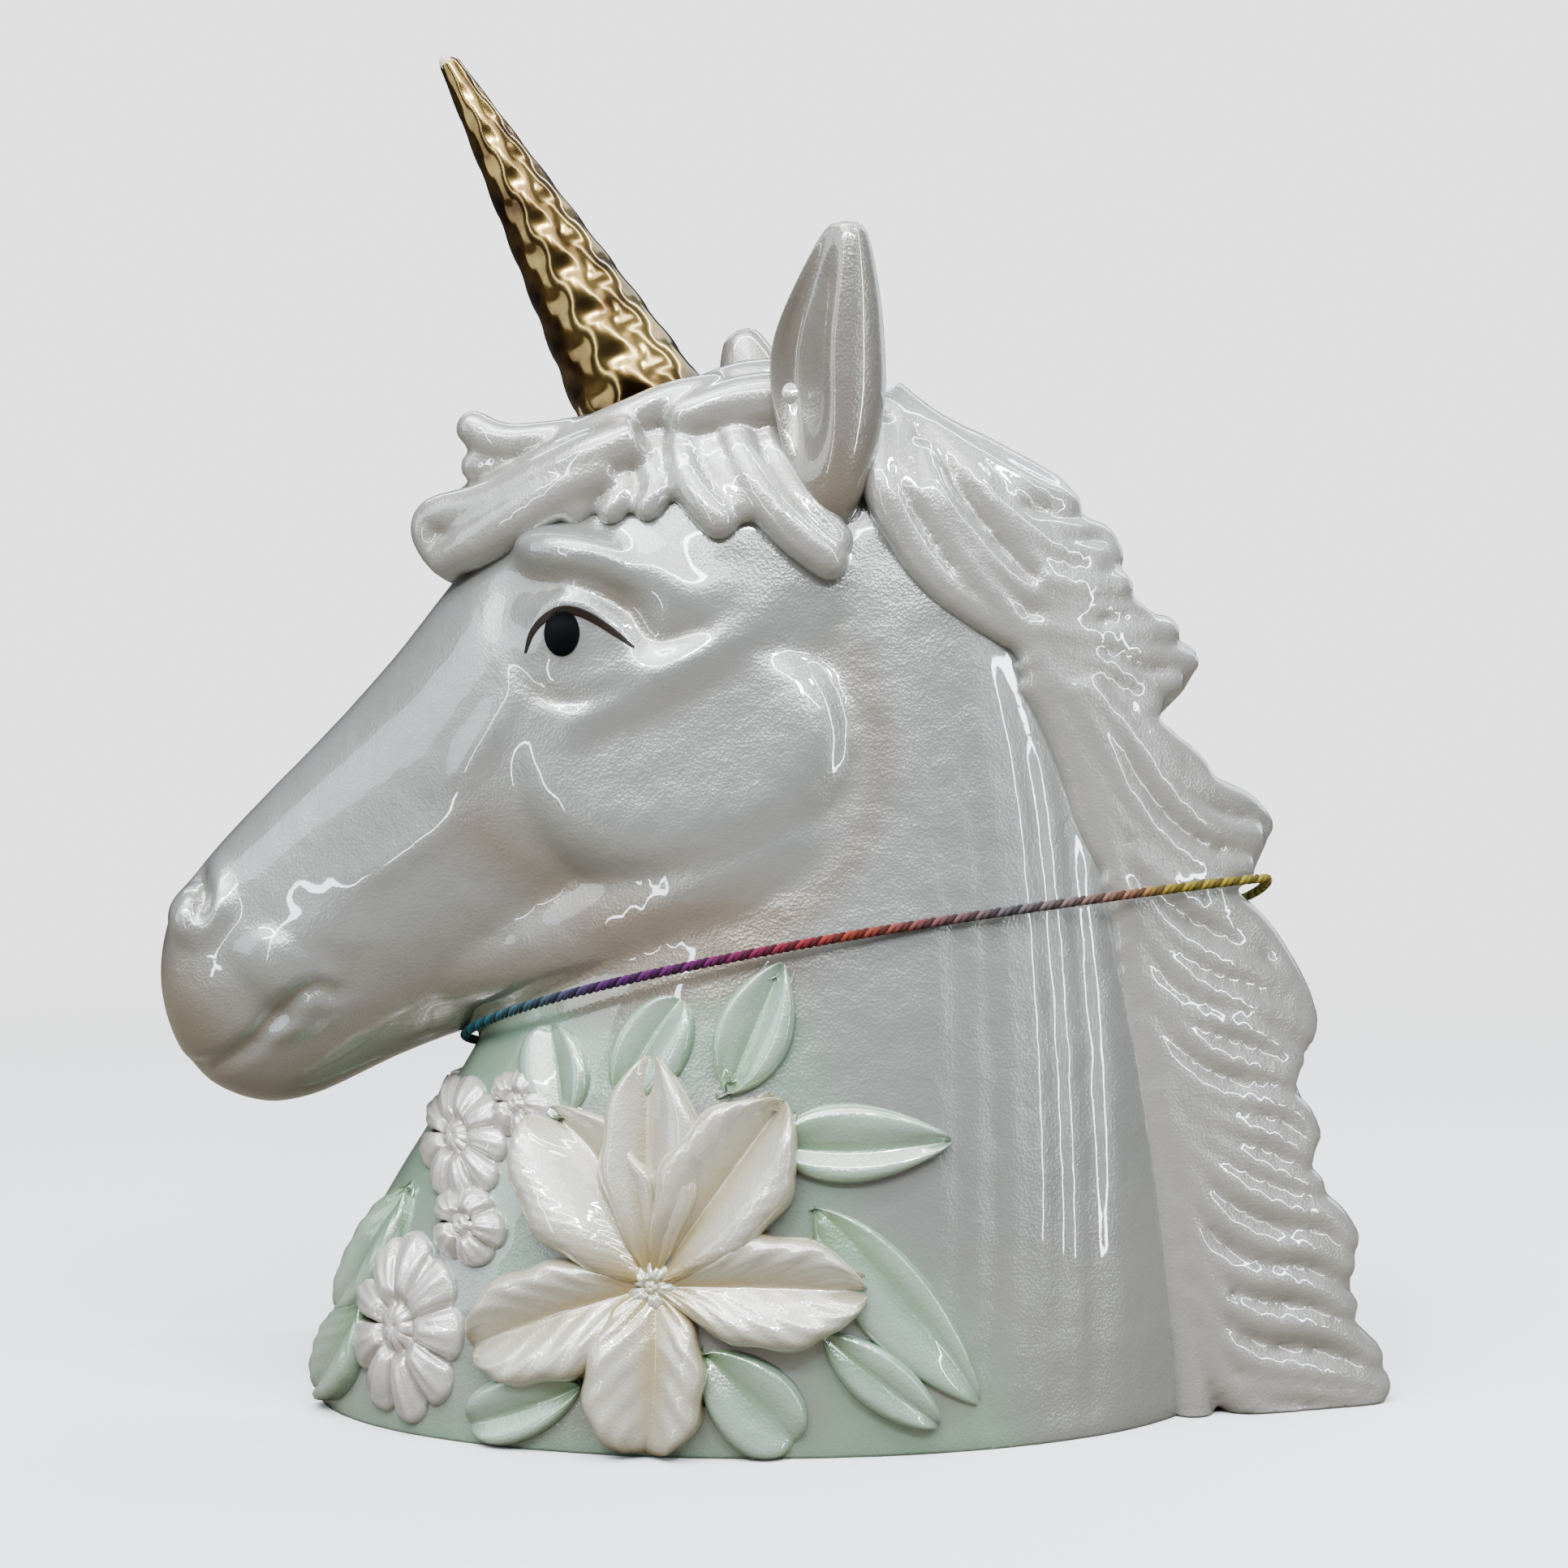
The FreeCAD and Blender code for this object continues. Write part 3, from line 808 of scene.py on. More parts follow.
    def forms(self) -> list[bpy.types.Object]:
        """The blocked-out forms under the skin."""
        forms = [oval_form("neck_form", self.neck), oval_form("head_form", self.head)]
        forms += [self.cheek_disc(-1), self.cheek_disc(1)]
        for egg in (self.eyeball, self.brow, self.nostril, self.muzzle):
            forms += ball_pair(*egg)
        lids = (self.upper_lid, self.lower_lid)
        forms.append(rolls("lids", [on_side(lid, side) for side in (-1, 1) for lid in lids]))
        forms.append(rolls("jaw", [on_side(self.jaw_edge, side) for side in (-1, 1)]))
        return forms

    def cheek_disc(self, side: int) -> bpy.types.Object:
        """One big round cheek: a disc with a rounded rim that stands out most below and behind."""
        x, _, z = self.cheek
        radius, depth = self.cheek_radius * MM, self.cheek_depth * MM
        place = (x * MM, side * (self.cheek_width - self.cheek_depth / 2) * MM, z * MM)
        bpy.ops.mesh.primitive_cylinder_add(vertices=96, radius=radius, depth=depth, location=place)
        disc = bpy.context.object
        lean = math.radians(self.cheek_lean)
        disc.rotation_euler = (math.pi / 2 + side * lean * 1.7, 0, side * lean)
        disc.scale = (1.12, 0.9, 1.0)
        settled(disc)
        return modified(disc, "BEVEL", width=self.cheek_rim * MM, segments=8, limit_method="ANGLE")

    def flutes(self) -> list[Stroke]:
        """The shallow upright flutes down the neck in front of the mane."""
        strokes = []
        for i, depth in enumerate(self.flute_depths):
            high = (15 + 4.2 * i, 116 - 3 * i), (21 + 4.2 * i, 90), (24 + 4.2 * i, 60)
            low = (24 + 4.5 * i, 25), (23 + 4.6 * i, 4)
            strokes.append(Stroke((*high, *low), 2.2, depth, 0.4))
        return strokes

    def skin(self) -> bpy.types.Object:
        """The whole skin, tooled, sponged and cut flat at the foot.

        Returns:
            The bust as one closed mesh.
        """
        bust = fused(joined("bust", self.forms()), self.grain, 16)
        worked(bust, [*self.flutes(), *self.tooling], 1.5)
        modified(bust, "SMOOTH", factor=0.5, iterations=3)
        uneven(bust, 0.007, 0.00016)
        cut_level(bust, 0.0)
        return bust

    def glaze(self, bust: bpy.types.Object) -> None:
        """Lays the colours: pooled glaze with painted shade in the creases, peach along the jaw with painted
        shade under it and round the cheek, green round the flowers.
        """
        points = coordinates(bust)
        side = points[:, [0, 2]]
        peach_and_shade = sum(stroke.lift(side) for stroke in self.peach_and_shade)
        green = sum(stroke.lift(side) for stroke in self.green) * np.clip((62 - points[:, 2]) / 8, 0, 1)
        painted(bust, hollows(bust, 12, 0.5) * 0.75, np.clip(peach_and_shade, 0, 0.8), np.clip(green, 0, 0.85))

    def hollowed(self, bust: bpy.types.Object) -> bpy.types.Object:
        """Hollows the casting and cuts its foot, plug hole and coin slot."""
        widths = [replace(ring, half_width=ring.half_width - self.wall) for ring in self.neck[2:12]]
        lowest = level_ring(self.floor_top, self.floor_front, self.floor_back, widths[0].half_width)
        inside = []
        for ring in [lowest, *widths]:
            back, front = ring.one[0] - self.wall, ring.other[0] + self.wall
            inside.append(Ring((back, ring.one[1]), (front, ring.other[1]), ring.half_width))
        cut(bust, oval_form("inside", inside, rounding=0))
        size = (self.foot_front, self.foot_back, self.foot_half_width)
        foot = [level_ring(z, *size) for z in (-2.0, self.foot_recess)]
        cut(bust, oval_form("recess", foot, rounding=0))
        place = (self.plug_centre * MM, 0, self.foot_recess * MM)
        radius = self.plug_hole * MM
        bpy.ops.mesh.primitive_cylinder_add(vertices=96, radius=radius, depth=14 * MM, location=place)
        cut(bust, bpy.context.object)
        cut(bust, coin_slot())
        return bust


def coin_slot() -> bpy.types.Object:
    """An upright block with round ends, to cut the coin slot through the crest."""
    centre, length, width, low, high = 22.0, 25.0, 5.0, 98.0, 160.0
    run = (length - width) / 2
    middle = (low + high) / 2 * MM
    parts = []
    for end in (-run, run):
        place = ((centre + end) * MM, 0, middle)
        radius, depth = width / 2 * MM, (high - low) * MM
        bpy.ops.mesh.primitive_cylinder_add(vertices=32, radius=radius, depth=depth, location=place)
        parts.append(settled(bpy.context.object))
    bpy.ops.mesh.primitive_cube_add(size=1.0, location=(centre * MM, 0, middle))
    block = bpy.context.object
    block.scale = (2 * run * MM, width * MM, (high - low) * MM)
    return fused_solids([settled(block), *parts])


def fused_solids(solids: list[bpy.types.Object]) -> bpy.types.Object:
    """Unites plain solids into the first one."""
    for tool in solids[1:]:
        modified(solids[0], "BOOLEAN", operation="UNION", object=tool, solver="EXACT")
        bpy.data.objects.remove(tool)
    return solids[0]


def cut(obj: bpy.types.Object, tool: bpy.types.Object) -> None:
    """Cuts the tool's shape out of a piece and removes the tool."""
    modified(obj, "BOOLEAN", operation="DIFFERENCE", object=tool, solver="EXACT")
    bpy.data.objects.remove(tool)


@dataclass(frozen=True)
class Skin:
    """Where the bust's skin lies, for what is pressed on to it.

    Args:
        tree: the skin's faces.
    """

    tree: BVHTree

    def at(self, x: float, z: float) -> tuple[Vector, Vector]:
        """The left side's skin at a point of the side view.

        Args:
            x: the point's place along the bust.
            z: its height.

        Returns:
            The skin's point, in millimetres, and its outward direction.
        """
        place, normal, _, _ = self.tree.ray_cast(Vector((x, -200, z)) * MM, Vector((0, 1, 0)))
        if place is None or place.y > -0.5 * MM:
            place, normal, _, _ = self.tree.find_nearest(Vector((x, -2.0, z)) * MM)
        return place / MM, normal

    def wrapped(self, middle: Point3, x: float, z: float) -> tuple[Vector, Vector]:
        """The skin beside a middle line, measured round the curve.

        Args:
            middle: the point of the middle line in the side view, and a height that isn't used.
            x: the place along the bust that the point would have on flat ground.
            z: its height there.

        Returns:
            The skin's point, in millimetres, and its outward direction.
        """
        start, outwards = self.at(middle[0], max(middle[1], LOWEST))
        along = Vector((0, 0, 1)).cross(outwards).normalized()
        up = outwards.cross(along)
        target = start + along * (x - middle[0]) + up * (z - middle[1])
        target.y = min(target.y, -0.6)
        place, normal, _, _ = self.tree.find_nearest(target * MM)
        return place / MM, normal


# ------------------------------------------------------------------ mane and forelock
@dataclass
class Mane:
    """The crest of locks down the back of the neck, drawn in the side view, thick at the root."""

    grain: float = 0.74
    levels: tuple[float, ...] = (0, 22, 44, 66, 90, 112, 124, 135, 143)
    reach: tuple[float, ...] = (91, 88, 80, 72, 65, 56, 47, 33, 22)
    width: tuple[float, ...] = (18.5, 19, 19.5, 19.5, 19, 19.5, 18.5, 14, 9)
    locks: tuple[Line, ...] = (
        (2.8, 2.4, ((15.5, 138.2), (21.0, 133.8), (28.2, 130.3), (33.7, 127.6), (38.2, 125.2))),
        (
            3.4, 2.2,
            (
                (20.5, 133.0), (24.6, 127.9), (29.1, 122.6), (33.3, 120.0),
                (39.1, 119.0), (44.4, 118.7), (46.0, 116.2),
            ),
        ),
        (3.2, 2.4, ((23.8, 130.6), (27.8, 124.2), (31.5, 118.7), (35.1, 114.5), (39.3, 112.4), (43.0, 113.8))),
        (
            3.4, 2.6,
            (
                (16.8, 133.9), (17.1, 126.4), (21.2, 120.8), (25.3, 114.3),
                (28.9, 110.2), (33.6, 105.1), (38.0, 101.6),
            ),
        ),
        (3.6, 2.4, ((13.8, 133.0), (14.4, 125.0), (17.4, 118.4), (22.0, 112.0), (26.9, 108.0), (31.6, 105.2))),
        (3.2, 2.4, ((19.2, 129.6), (21.3, 123.8), (25.4, 118.3), (29.9, 113.4), (35.0, 109.9), (40.4, 109.2))),
        (2.6, 1.9, ((36.0, 107.4), (42.0, 108.6), (48.2, 108.5), (51.2, 107.0))),
        (3.0, 2.4, ((33.8, 106.0), (39.7, 106.0), (45.5, 104.0), (51.5, 102.4), (56.6, 101.8))),
        (2.8, 2.2, ((36.6, 103.0), (44.6, 100.9), (49.4, 98.6), (54.4, 99.0))),
        (2.6, 2.0, ((38.0, 100.8), (43.3, 98.0), (47.6, 96.0), (51.4, 95.8))),
        (2.8, 2.2, ((48.0, 94.3), (53.0, 90.4), (57.0, 87.4), (58.8, 85.0))),
        (3.2, 2.6, ((49.7, 92.0), (54.6, 85.8), (60.2, 83.4), (64.8, 81.6), (67.6, 79.2))),
        (4.0, 3.4, ((41.1, 98.0), (47.0, 91.4), (53.0, 83.5), (58.7, 79.0), (65.0, 77.4))),
        (4.0, 3.0, ((39.0, 98.0), (42.6, 91.9), (47.6, 82.7), (53.0, 76.6), (58.8, 73.6), (63.6, 73.4))),
        (
            3.4, 2.8,
            (
                (34.1, 102.4), (37.9, 97.8), (41.1, 91.9), (43.8, 83.6),
                (48.6, 77.4), (54.6, 72.6), (60.4, 71.2),
            ),
        ),
        (3.4, 2.8, ((34.8, 99.5), (38.0, 93.6), (40.9, 85.9), (43.2, 78.0), (46.9, 71.6))),
        (3.6, 3.0, ((59.0, 69.4), (64.8, 65.2), (68.6, 60.4), (71.4, 55.6), (72.6, 52.2))),
        (3.8, 3.0, ((48.6, 69.4), (54.0, 64.0), (59.2, 61.2), (64.8, 59.2), (69.4, 56.0), (71.4, 53.6))),
        (3.8, 3.0, ((46.4, 69.7), (51.5, 62.1), (56.6, 57.8), (62.4, 55.4), (68.2, 53.2), (72.2, 50.8))),
        (3.6, 2.8, ((47.0, 63.8), (50.9, 57.2), (57.1, 53.4), (63.4, 51.8), (67.4, 49.6), (70.4, 47.2))),
        (3.6, 2.8, ((47.5, 60.2), (52.2, 53.6), (58.0, 49.0), (64.5, 46.6), (69.4, 45.0))),
        (3.6, 3.0, ((48.4, 53.7), (53.7, 46.5), (60.1, 42.6), (66.6, 41.6), (70.8, 39.6), (72.4, 37.0))),
        (3.6, 3.0, ((49.5, 48.6), (55.3, 42.0), (62.2, 38.6), (67.4, 37.0), (71.4, 34.4))),
        (3.4, 2.8, ((53.1, 41.3), (57.9, 37.2), (63.2, 34.2), (68.7, 31.8), (73.0, 29.8))),
        (
            4.0, 3.2,
            (
                (50.6, 44.7), (54.7, 36.8), (59.0, 32.6), (64.3, 29.2),
                (69.9, 27.0), (74.8, 25.8), (77.6, 22.6),
            ),
        ),
        (4.0, 3.2, ((51.7, 40.6), (55.9, 30.8), (60.5, 25.8), (66.3, 22.8), (72.4, 21.8), (77.0, 19.2))),
        (3.8, 3.0, ((53.6, 29.5), (57.5, 22.0), (63.1, 18.6), (69.0, 17.4), (73.9, 15.9), (77.4, 13.4))),
        (4.0, 2.8, ((55.0, 22.2), (59.8, 15.6), (65.7, 12.4), (72.0, 11.4), (77.6, 9.2), (81.4, 6.2))),
        (3.8, 2.8, ((55.5, 16.9), (59.5, 10.6), (65.3, 6.6), (71.6, 5.4), (78.1, 3.8), (82.6, 2.2))),
        (3.4, 2.6, ((57.0, 11.2), (60.4, 4.6), (64.3, 1.0), (71.3, -1.0), (80.0, -1.6))),
        (3.6, 3.2, ((22.0, 131.6), (29.0, 127.4), (34.6, 124.4), (39.2, 122.8))),
        (3.4, 3.2, ((25.0, 127.0), (31.0, 121.0), (37.4, 116.4), (43.6, 115.4))),
        (3.2, 3.0, ((35.0, 112.0), (41.0, 111.4), (46.4, 111.8))),
        (3.2, 3.0, ((34.0, 105.8), (42.0, 104.6), (49.4, 105.4), (53.2, 105.8))),
        (3.0, 2.8, ((60.0, 4.2), (68.0, 3.2), (76.0, 1.8), (81.6, 0.8))),
        (3.4, 2.8, ((47.0, 76.0), (53.6, 70.4), (59.4, 67.0), (65.0, 62.6))),
        (3.2, 2.6, ((44.6, 73.0), (50.6, 66.6), (57.0, 63.4), (63.6, 61.0))),
        (3.2, 2.6, ((9.0, 137.0), (15.0, 135.6), (21.0, 131.6), (27.0, 127.0), (32.0, 123.4))),
        (
            2.6, 3.4,
            (
                (30, 109), (37.6, 98), (43.2, 84), (46.4, 70), (48.4, 54),
                (51.2, 36), (53.4, 20), (55.8, 4), (56.5, -4),
            ),
        ),
    )

    outline: tuple[Point, ...] = (
        (8.0, 137.0), (17.4, 138.6), (24.5, 133.0), (32.5, 129.0), (40.2, 125.4), (41.2, 120.6),
        (47.2, 119.2), (47.4, 116.5), (46.6, 111.0), (50.6, 110.2), (53.0, 108.6), (54.0, 106.2),
        (58.6, 103.9), (59.0, 101.7), (57.0, 98.0), (53.0, 93.9), (57.0, 90.2), (61.4, 84.9),
        (68.0, 80.1), (68.8, 77.7), (66.8, 72.9), (63.8, 70.3), (68.4, 64.9), (72.2, 59.2),
        (75.0, 52.0), (74.6, 48.2), (71.8, 45.7), (74.0, 39.5), (75.0, 35.5), (74.0, 29.7),
        (78.5, 25.0), (80.4, 19.5), (80.2, 13.8), (79.6, 10.3), (83.0, 5.2), (85.2, 0.5),
        (85.4, -4.0), (50.0, -4.0), (44.0, 60.0), (30.0, 100.0), (8.0, 125.0),
    )
    web_thickness: float = 7.0
    foot_gap: float = 0.2
    across: tuple[float, ...] = (-1.0, -0.66, -0.33, 0.0, 0.33, 0.66, 1.0)

    def web(self) -> bpy.types.Object:
        """The thin crest in the middle that every lock joins, cut to the mane's outline."""
        corners = len(self.outline)
        bpy.ops.mesh.primitive_circle_add(vertices=corners, radius=1.0, fill_type="NGON")
        web = alone(bpy.context.object)
        points = np.array([(x, 0.0, z) for x, z in self.outline])
        move_points(web, points)
        modified(web, "TRIANGULATE")
        modified(web, "SOLIDIFY", thickness=self.web_thickness * MM, offset=0.0)
        with editing(web):
            turn_faces_out()
        return web

    def depth(self, x: float, z: float) -> float:
        """The mane's half width at a point of the side view."""
        reach, width = np.interp(z, self.levels, self.reach), np.interp(z, self.levels, self.width)
        return float(width * math.sqrt(max(0.01, 1 - (x / reach) ** 2)))

    def lock(self, line: Line, side: float) -> Roll:
        """One lock laid on the mane's rounded flank where side is -1 or 1, or nearer the middle."""
        root, tip, course = line
        radii = list(np.linspace(root, tip, len(course)) * 0.9)
        return [(x, side * max(self.depth(x, z) - 0.6 * r, 0.8), z) for (x, z), r in zip(course, radii)], radii

    def core(self) -> bpy.types.Object:
        """What lies under the locks: level ovals inside the outline, from the foot to the poll."""
        backs = (82.0, 76.0, 69.0, 63.0, 53.0, 45.0, 40.0, 29.0)
        fronts = (-20.0, -20.0, -20.0, -20.0, -10.0, -6.0, 0.0, 2.0)
        levels = (-6.0, *self.levels[1:8])
        rings = [
            level_ring(z, front, back - 2.0, width - 5.6)
            for z, front, back, width in zip(levels, fronts, backs, self.width)
        ]
        return oval_form("mane_core", rings)

    def build(self, glaze: bpy.types.Material) -> None:
        """Makes the mane with the coin slot through it."""
        tubes = [self.lock(line, side) for line in self.locks for side in self.across]
        mane = fused(joined("mane", [self.core(), self.web(), rolls("locks", tubes)]), self.grain, 4)
        cut_level(mane, self.foot_gap)
        # glaze pooled in the grooves between the locks, with shade painted there, and an even faint peach wash
        pool = hollows(mane, 8, 0.55)
        painted(mane, pool * 0.8, 0.12 + 0 * pool, 0 * pool)
        cut(mane, coin_slot())
        mane.data.materials.append(glaze)
        finished(mane, "bust", ["mane"], "pearl_glaze")


@dataclass
class Forelock:
    """The fringe over the forehead, with two curls on each side that stand clear in front."""

    grain: float = 0.6
    curls: tuple[Roll, ...] = (
        (
            ((-17, -9, 134.5), (-25, -8.5, 133.0), (-32, -8, 132.0), (-38, -7, 132.0), (-41.6, -6.4, 134.0)),
            (3.2, 2.8, 2.8, 3.0, 2.6),
        ),
        (((-20, -9, 131.0), (-28, -8, 129.6), (-35, -7, 128.6), (-41.4, -6.2, 128.8)), (3.4, 3.4, 2.8, 2.2)),
        (
            (
                (-18, -14, 131.5),
                (-25, -12.5, 128.4),
                (-32, -10.5, 125.2),
                (-39, -8.5, 122.6),
                (-46, -7.0, 122.0),
            ),
            (3.4, 4.4, 4.6, 4.2, 3.0),
        ),
        (
            (
                (-22, -14.5, 127.4),
                (-29, -13, 124.2),
                (-36, -11, 120.4),
                (-41.5, -9, 117.6),
                (-45.2, -7.4, 116.0),
            ),
            (3.0, 3.6, 3.8, 3.6, 2.8),
        ),
        (
            ((-46.6, -7.0, 123.2), (-48.2, -6.6, 120.6), (-47.0, -6.6, 117.2), (-44.6, -6.8, 114.4)),
            (2.0, 2.2, 2.2, 1.8),
        ),
        (((-38, -3.0, 121.0), (-43, -2.5, 119.0), (-46.0, -2.5, 118.6)), (4.2, 4.0, 3.2)),
        (((-24, -3.0, 130.0), (-32, -3.0, 128.0), (-40.0, -2.5, 130.6)), (5.0, 4.2, 3.2)),
        (
            ((-22, -4.5, 130.5), (-32, -4.5, 126.6), (-39, -4.2, 123.6), (-43, -3.8, 121.4)),
            (5.0, 5.0, 4.6, 3.8),
        ),
    )
    middle: Roll = (
        ((-14, 0, 134.0), (-25, 0, 130.6), (-34, 0, 127.4), (-41.5, 0, 123.4)),
        (5.0, 5.6, 5.2, 4.4),
    )
    fringe: tuple[Line, ...] = (
        (3.0, 2.4, ((-18.5, 135.6), (-22.6, 131.0), (-24.4, 127.2), (-24.8, 124.4), (-27.0, 122.0))),
        (2.8, 2.0, ((-16.4, 136.2), (-19.6, 130.8), (-20.6, 126.6), (-20.2, 123.8), (-22.0, 121.4))),
        (2.8, 2.0, ((-13.8, 137.0), (-16.0, 131.4), (-16.6, 127.2), (-15.8, 124.0), (-17.0, 121.8))),
        (3.0, 2.6, ((-11.2, 138.0), (-12.4, 131.8), (-12.2, 127.2), (-10.4, 123.4), (-7.4, 119.8))),
        (2.6, 2.2, ((-9.0, 138.6), (-9.2, 132.6), (-8.2, 128.4), (-6.2, 124.6), (-4.2, 121.6))),
        (3.4, 2.8, ((-7.0, 138.8), (-5.6, 132.0), (-3.4, 126.2), (-0.4, 121.6), (3.4, 117.6), (7.2, 114.6))),
        (2.8, 2.4, ((-3.6, 139.6), (-1.8, 133.6), (0.0, 128.4), (2.2, 124.4), (5.4, 120.6), (8.4, 117.4))),
        (2.8, 2.2, ((0.4, 139.6), (1.6, 134.4), (3.0, 129.6), (5.0, 125.4), (7.6, 122.0))),
    )
    crown: tuple[Roll, ...] = (
        (((12, -3.5, 138.0), (4, -4.5, 139.8), (-4, -6.0, 139.8), (-11, -8.5, 138.0)), (3.4, 4.2, 3.8, 2.6)),
        (((12, -9.0, 136.0), (4, -11.0, 136.8), (-4, -12.0, 136.4), (-12, -12.5, 134.4)), (3.4, 4.4, 4.2, 3.2)),
        (
            ((-7, -10.0, 138.6), (-14, -11.0, 136.8), (-21, -10.6, 134.0), (-28, -9.4, 131.4)),
            (2.8, 3.0, 3.0, 2.8),
        ),
        (((-20, -11.5, 131.6), (-28, -10.0, 128.6), (-34, -8.6, 126.0)), (4.0, 4.0, 3.4)),
    )

    def build(self, skin: Skin, glaze: bpy.types.Material) -> None:
        """Makes the whole forelock on the bust's skin."""
        tubes: list[Roll] = []
        for side in (1, -1):
            tubes += [on_side(curl, side) for curl in self.curls]
            tubes.append(self.middle)
            tubes += [on_side(roll, side) for roll in self.crown]
            for root, tip, line in self.fringe:
                radii = list(np.linspace(root, tip, len(line)))
                places = []
                for (x, z), radius in zip(line, radii):
                    place, normal = skin.at(x, min(z, 137.0))
                    lifted = place + normal * radius * 0.35
                    places.append((x, side * lifted.y, z))
                tubes.append((places, radii))
        hair = fused(rolls("forelock", tubes), self.grain, 7)
        # glaze pooled in the grooves between the locks, with shade painted there, and an even faint peach wash
        pool = hollows(hair, 8, 0.5)
        painted(hair, pool * 0.8, 0.15 + 0 * pool, 0 * pool)
        hair.data.materials.append(glaze)
        finished(hair, "bust", ["forelock"], "pearl_glaze")


# ------------------------------------------------------------------ ears, horn and eyes
@dataclass
class Ear:
    """A leaf-shaped ear, scooped on its front and outer side.

    Each row is height, middle along the bust, middle across, half length, half thickness, scoop.
    """

    rows: tuple[tuple[float, ...], ...] = (
        (119.0, 7.2, -14.5, 2.0, 2.0, 0.0),
        (121.5, 7.4, -15.8, 3.6, 3.6, 0.0),
        (126.0, 7.2, -16.4, 5.4, 4.6, 0.1),
        (131.0, 7.4, -16.6, 6.6, 5.0, 0.45),
        (137.0, 7.1, -16.8, 7.9, 5.2, 0.8),
        (143.0, 6.9, -17.3, 7.8, 4.9, 0.85),
        (148.4, 7.7, -18.0, 6.6, 4.2, 0.75),
        (153.8, 8.6, -18.7, 4.8, 3.3, 0.5),
        (157.4, 9.2, -19.2, 3.4, 2.4, 0.2),
        (159.6, 9.5, -19.5, 2.1, 1.5, 0.0),
    )
    scoop_turn: float = 228.0
    scoop_reach: float = 50.0
    sides: int = 64
    pitch: float = -24.0
    hinge: Point3 = (7.0, 0.0, 124.0)
    seat: Point3 = (-0.5, 0.0, -5.0)

    def left(self) -> bpy.types.Object:
        """The left ear."""
        rings = []
        for z, x, y, half_x, half_y, _ in self.rows:
            place = (x * MM, y * MM, z * MM)
            bpy.ops.mesh.primitive_circle_add(vertices=self.sides, radius=1.0, location=place)
            ring = bpy.context.object
            ring.scale = (half_x * MM, half_y * MM, MM)
            rings.append(settled(ring))
        ear = bridged("left_ear", rings)
        points = coordinates(ear)
        levels, xs, ys, half_xs, half_ys, scoops = np.array(self.rows).T
        z = points[:, 2]
        dx = (points[:, 0] - np.interp(z, levels, xs)) / np.interp(z, levels, half_xs)
        dy = (points[:, 1] - np.interp(z, levels, ys)) / np.interp(z, levels, half_ys)
        turn = np.degrees(np.arctan2(dy, dx)) % 360
        share = np.clip(1 - np.abs(turn - self.scoop_turn) / self.scoop_reach, 0, 1)
        fall = np.interp(z, levels, scoops) * np.interp(z, levels, half_ys) * np.sin(share * math.pi / 2) ** 1.6
        points[:, 1] += 1.35 * fall
        points[:, 0] += 0.3 * fall
        move_points(ear, points)
        return modified(ear, "SUBSURF", levels=2, render_levels=2)

    def build(self, glaze: bpy.types.Material) -> None:
        """Makes both ears; the right one is pricked forwards and seated lower."""
        left = self.left()
        right = mirrored(left, "right_ear")
        points = coordinates(right)
        turn = math.radians(self.pitch)
        x, z = points[:, 0] - self.hinge[0], points[:, 2] - self.hinge[2]
        points[:, 0] = self.hinge[0] + x * math.cos(turn) + z * math.sin(turn) + self.seat[0]
        points[:, 2] = self.hinge[2] - x * math.sin(turn) + z * math.cos(turn) + self.seat[2]
        move_points(right, points)
        for node, ear in (("left_ear", left), ("right_ear", right)):
            # glaze pooled in the ear's hollows with shade painted there, and a peach wash that is darker towards
            # the bottom
            pool = hollows(ear, 12, 0.8)
            low = np.clip((134 - coordinates(ear)[:, 2]) / 12, 0, 1)
            painted(ear, pool * 0.5, 0.45 + 0.35 * low, 0 * pool)
            ear.data.materials.append(glaze)
            finished(ear, "bust", [node], "pearl_glaze")


def bridged(name: str, rings: list[bpy.types.Object]) -> bpy.types.Object:
    """Bridges rings one to the next and closes the two ends."""
    form = joined(name, rings)
    with editing(form):
        bpy.ops.mesh.bridge_edge_loops()
        bpy.ops.mesh.select_all(action="SELECT")
        bpy.ops.mesh.fill_holes(sides=0)
        turn_faces_out()
    return form


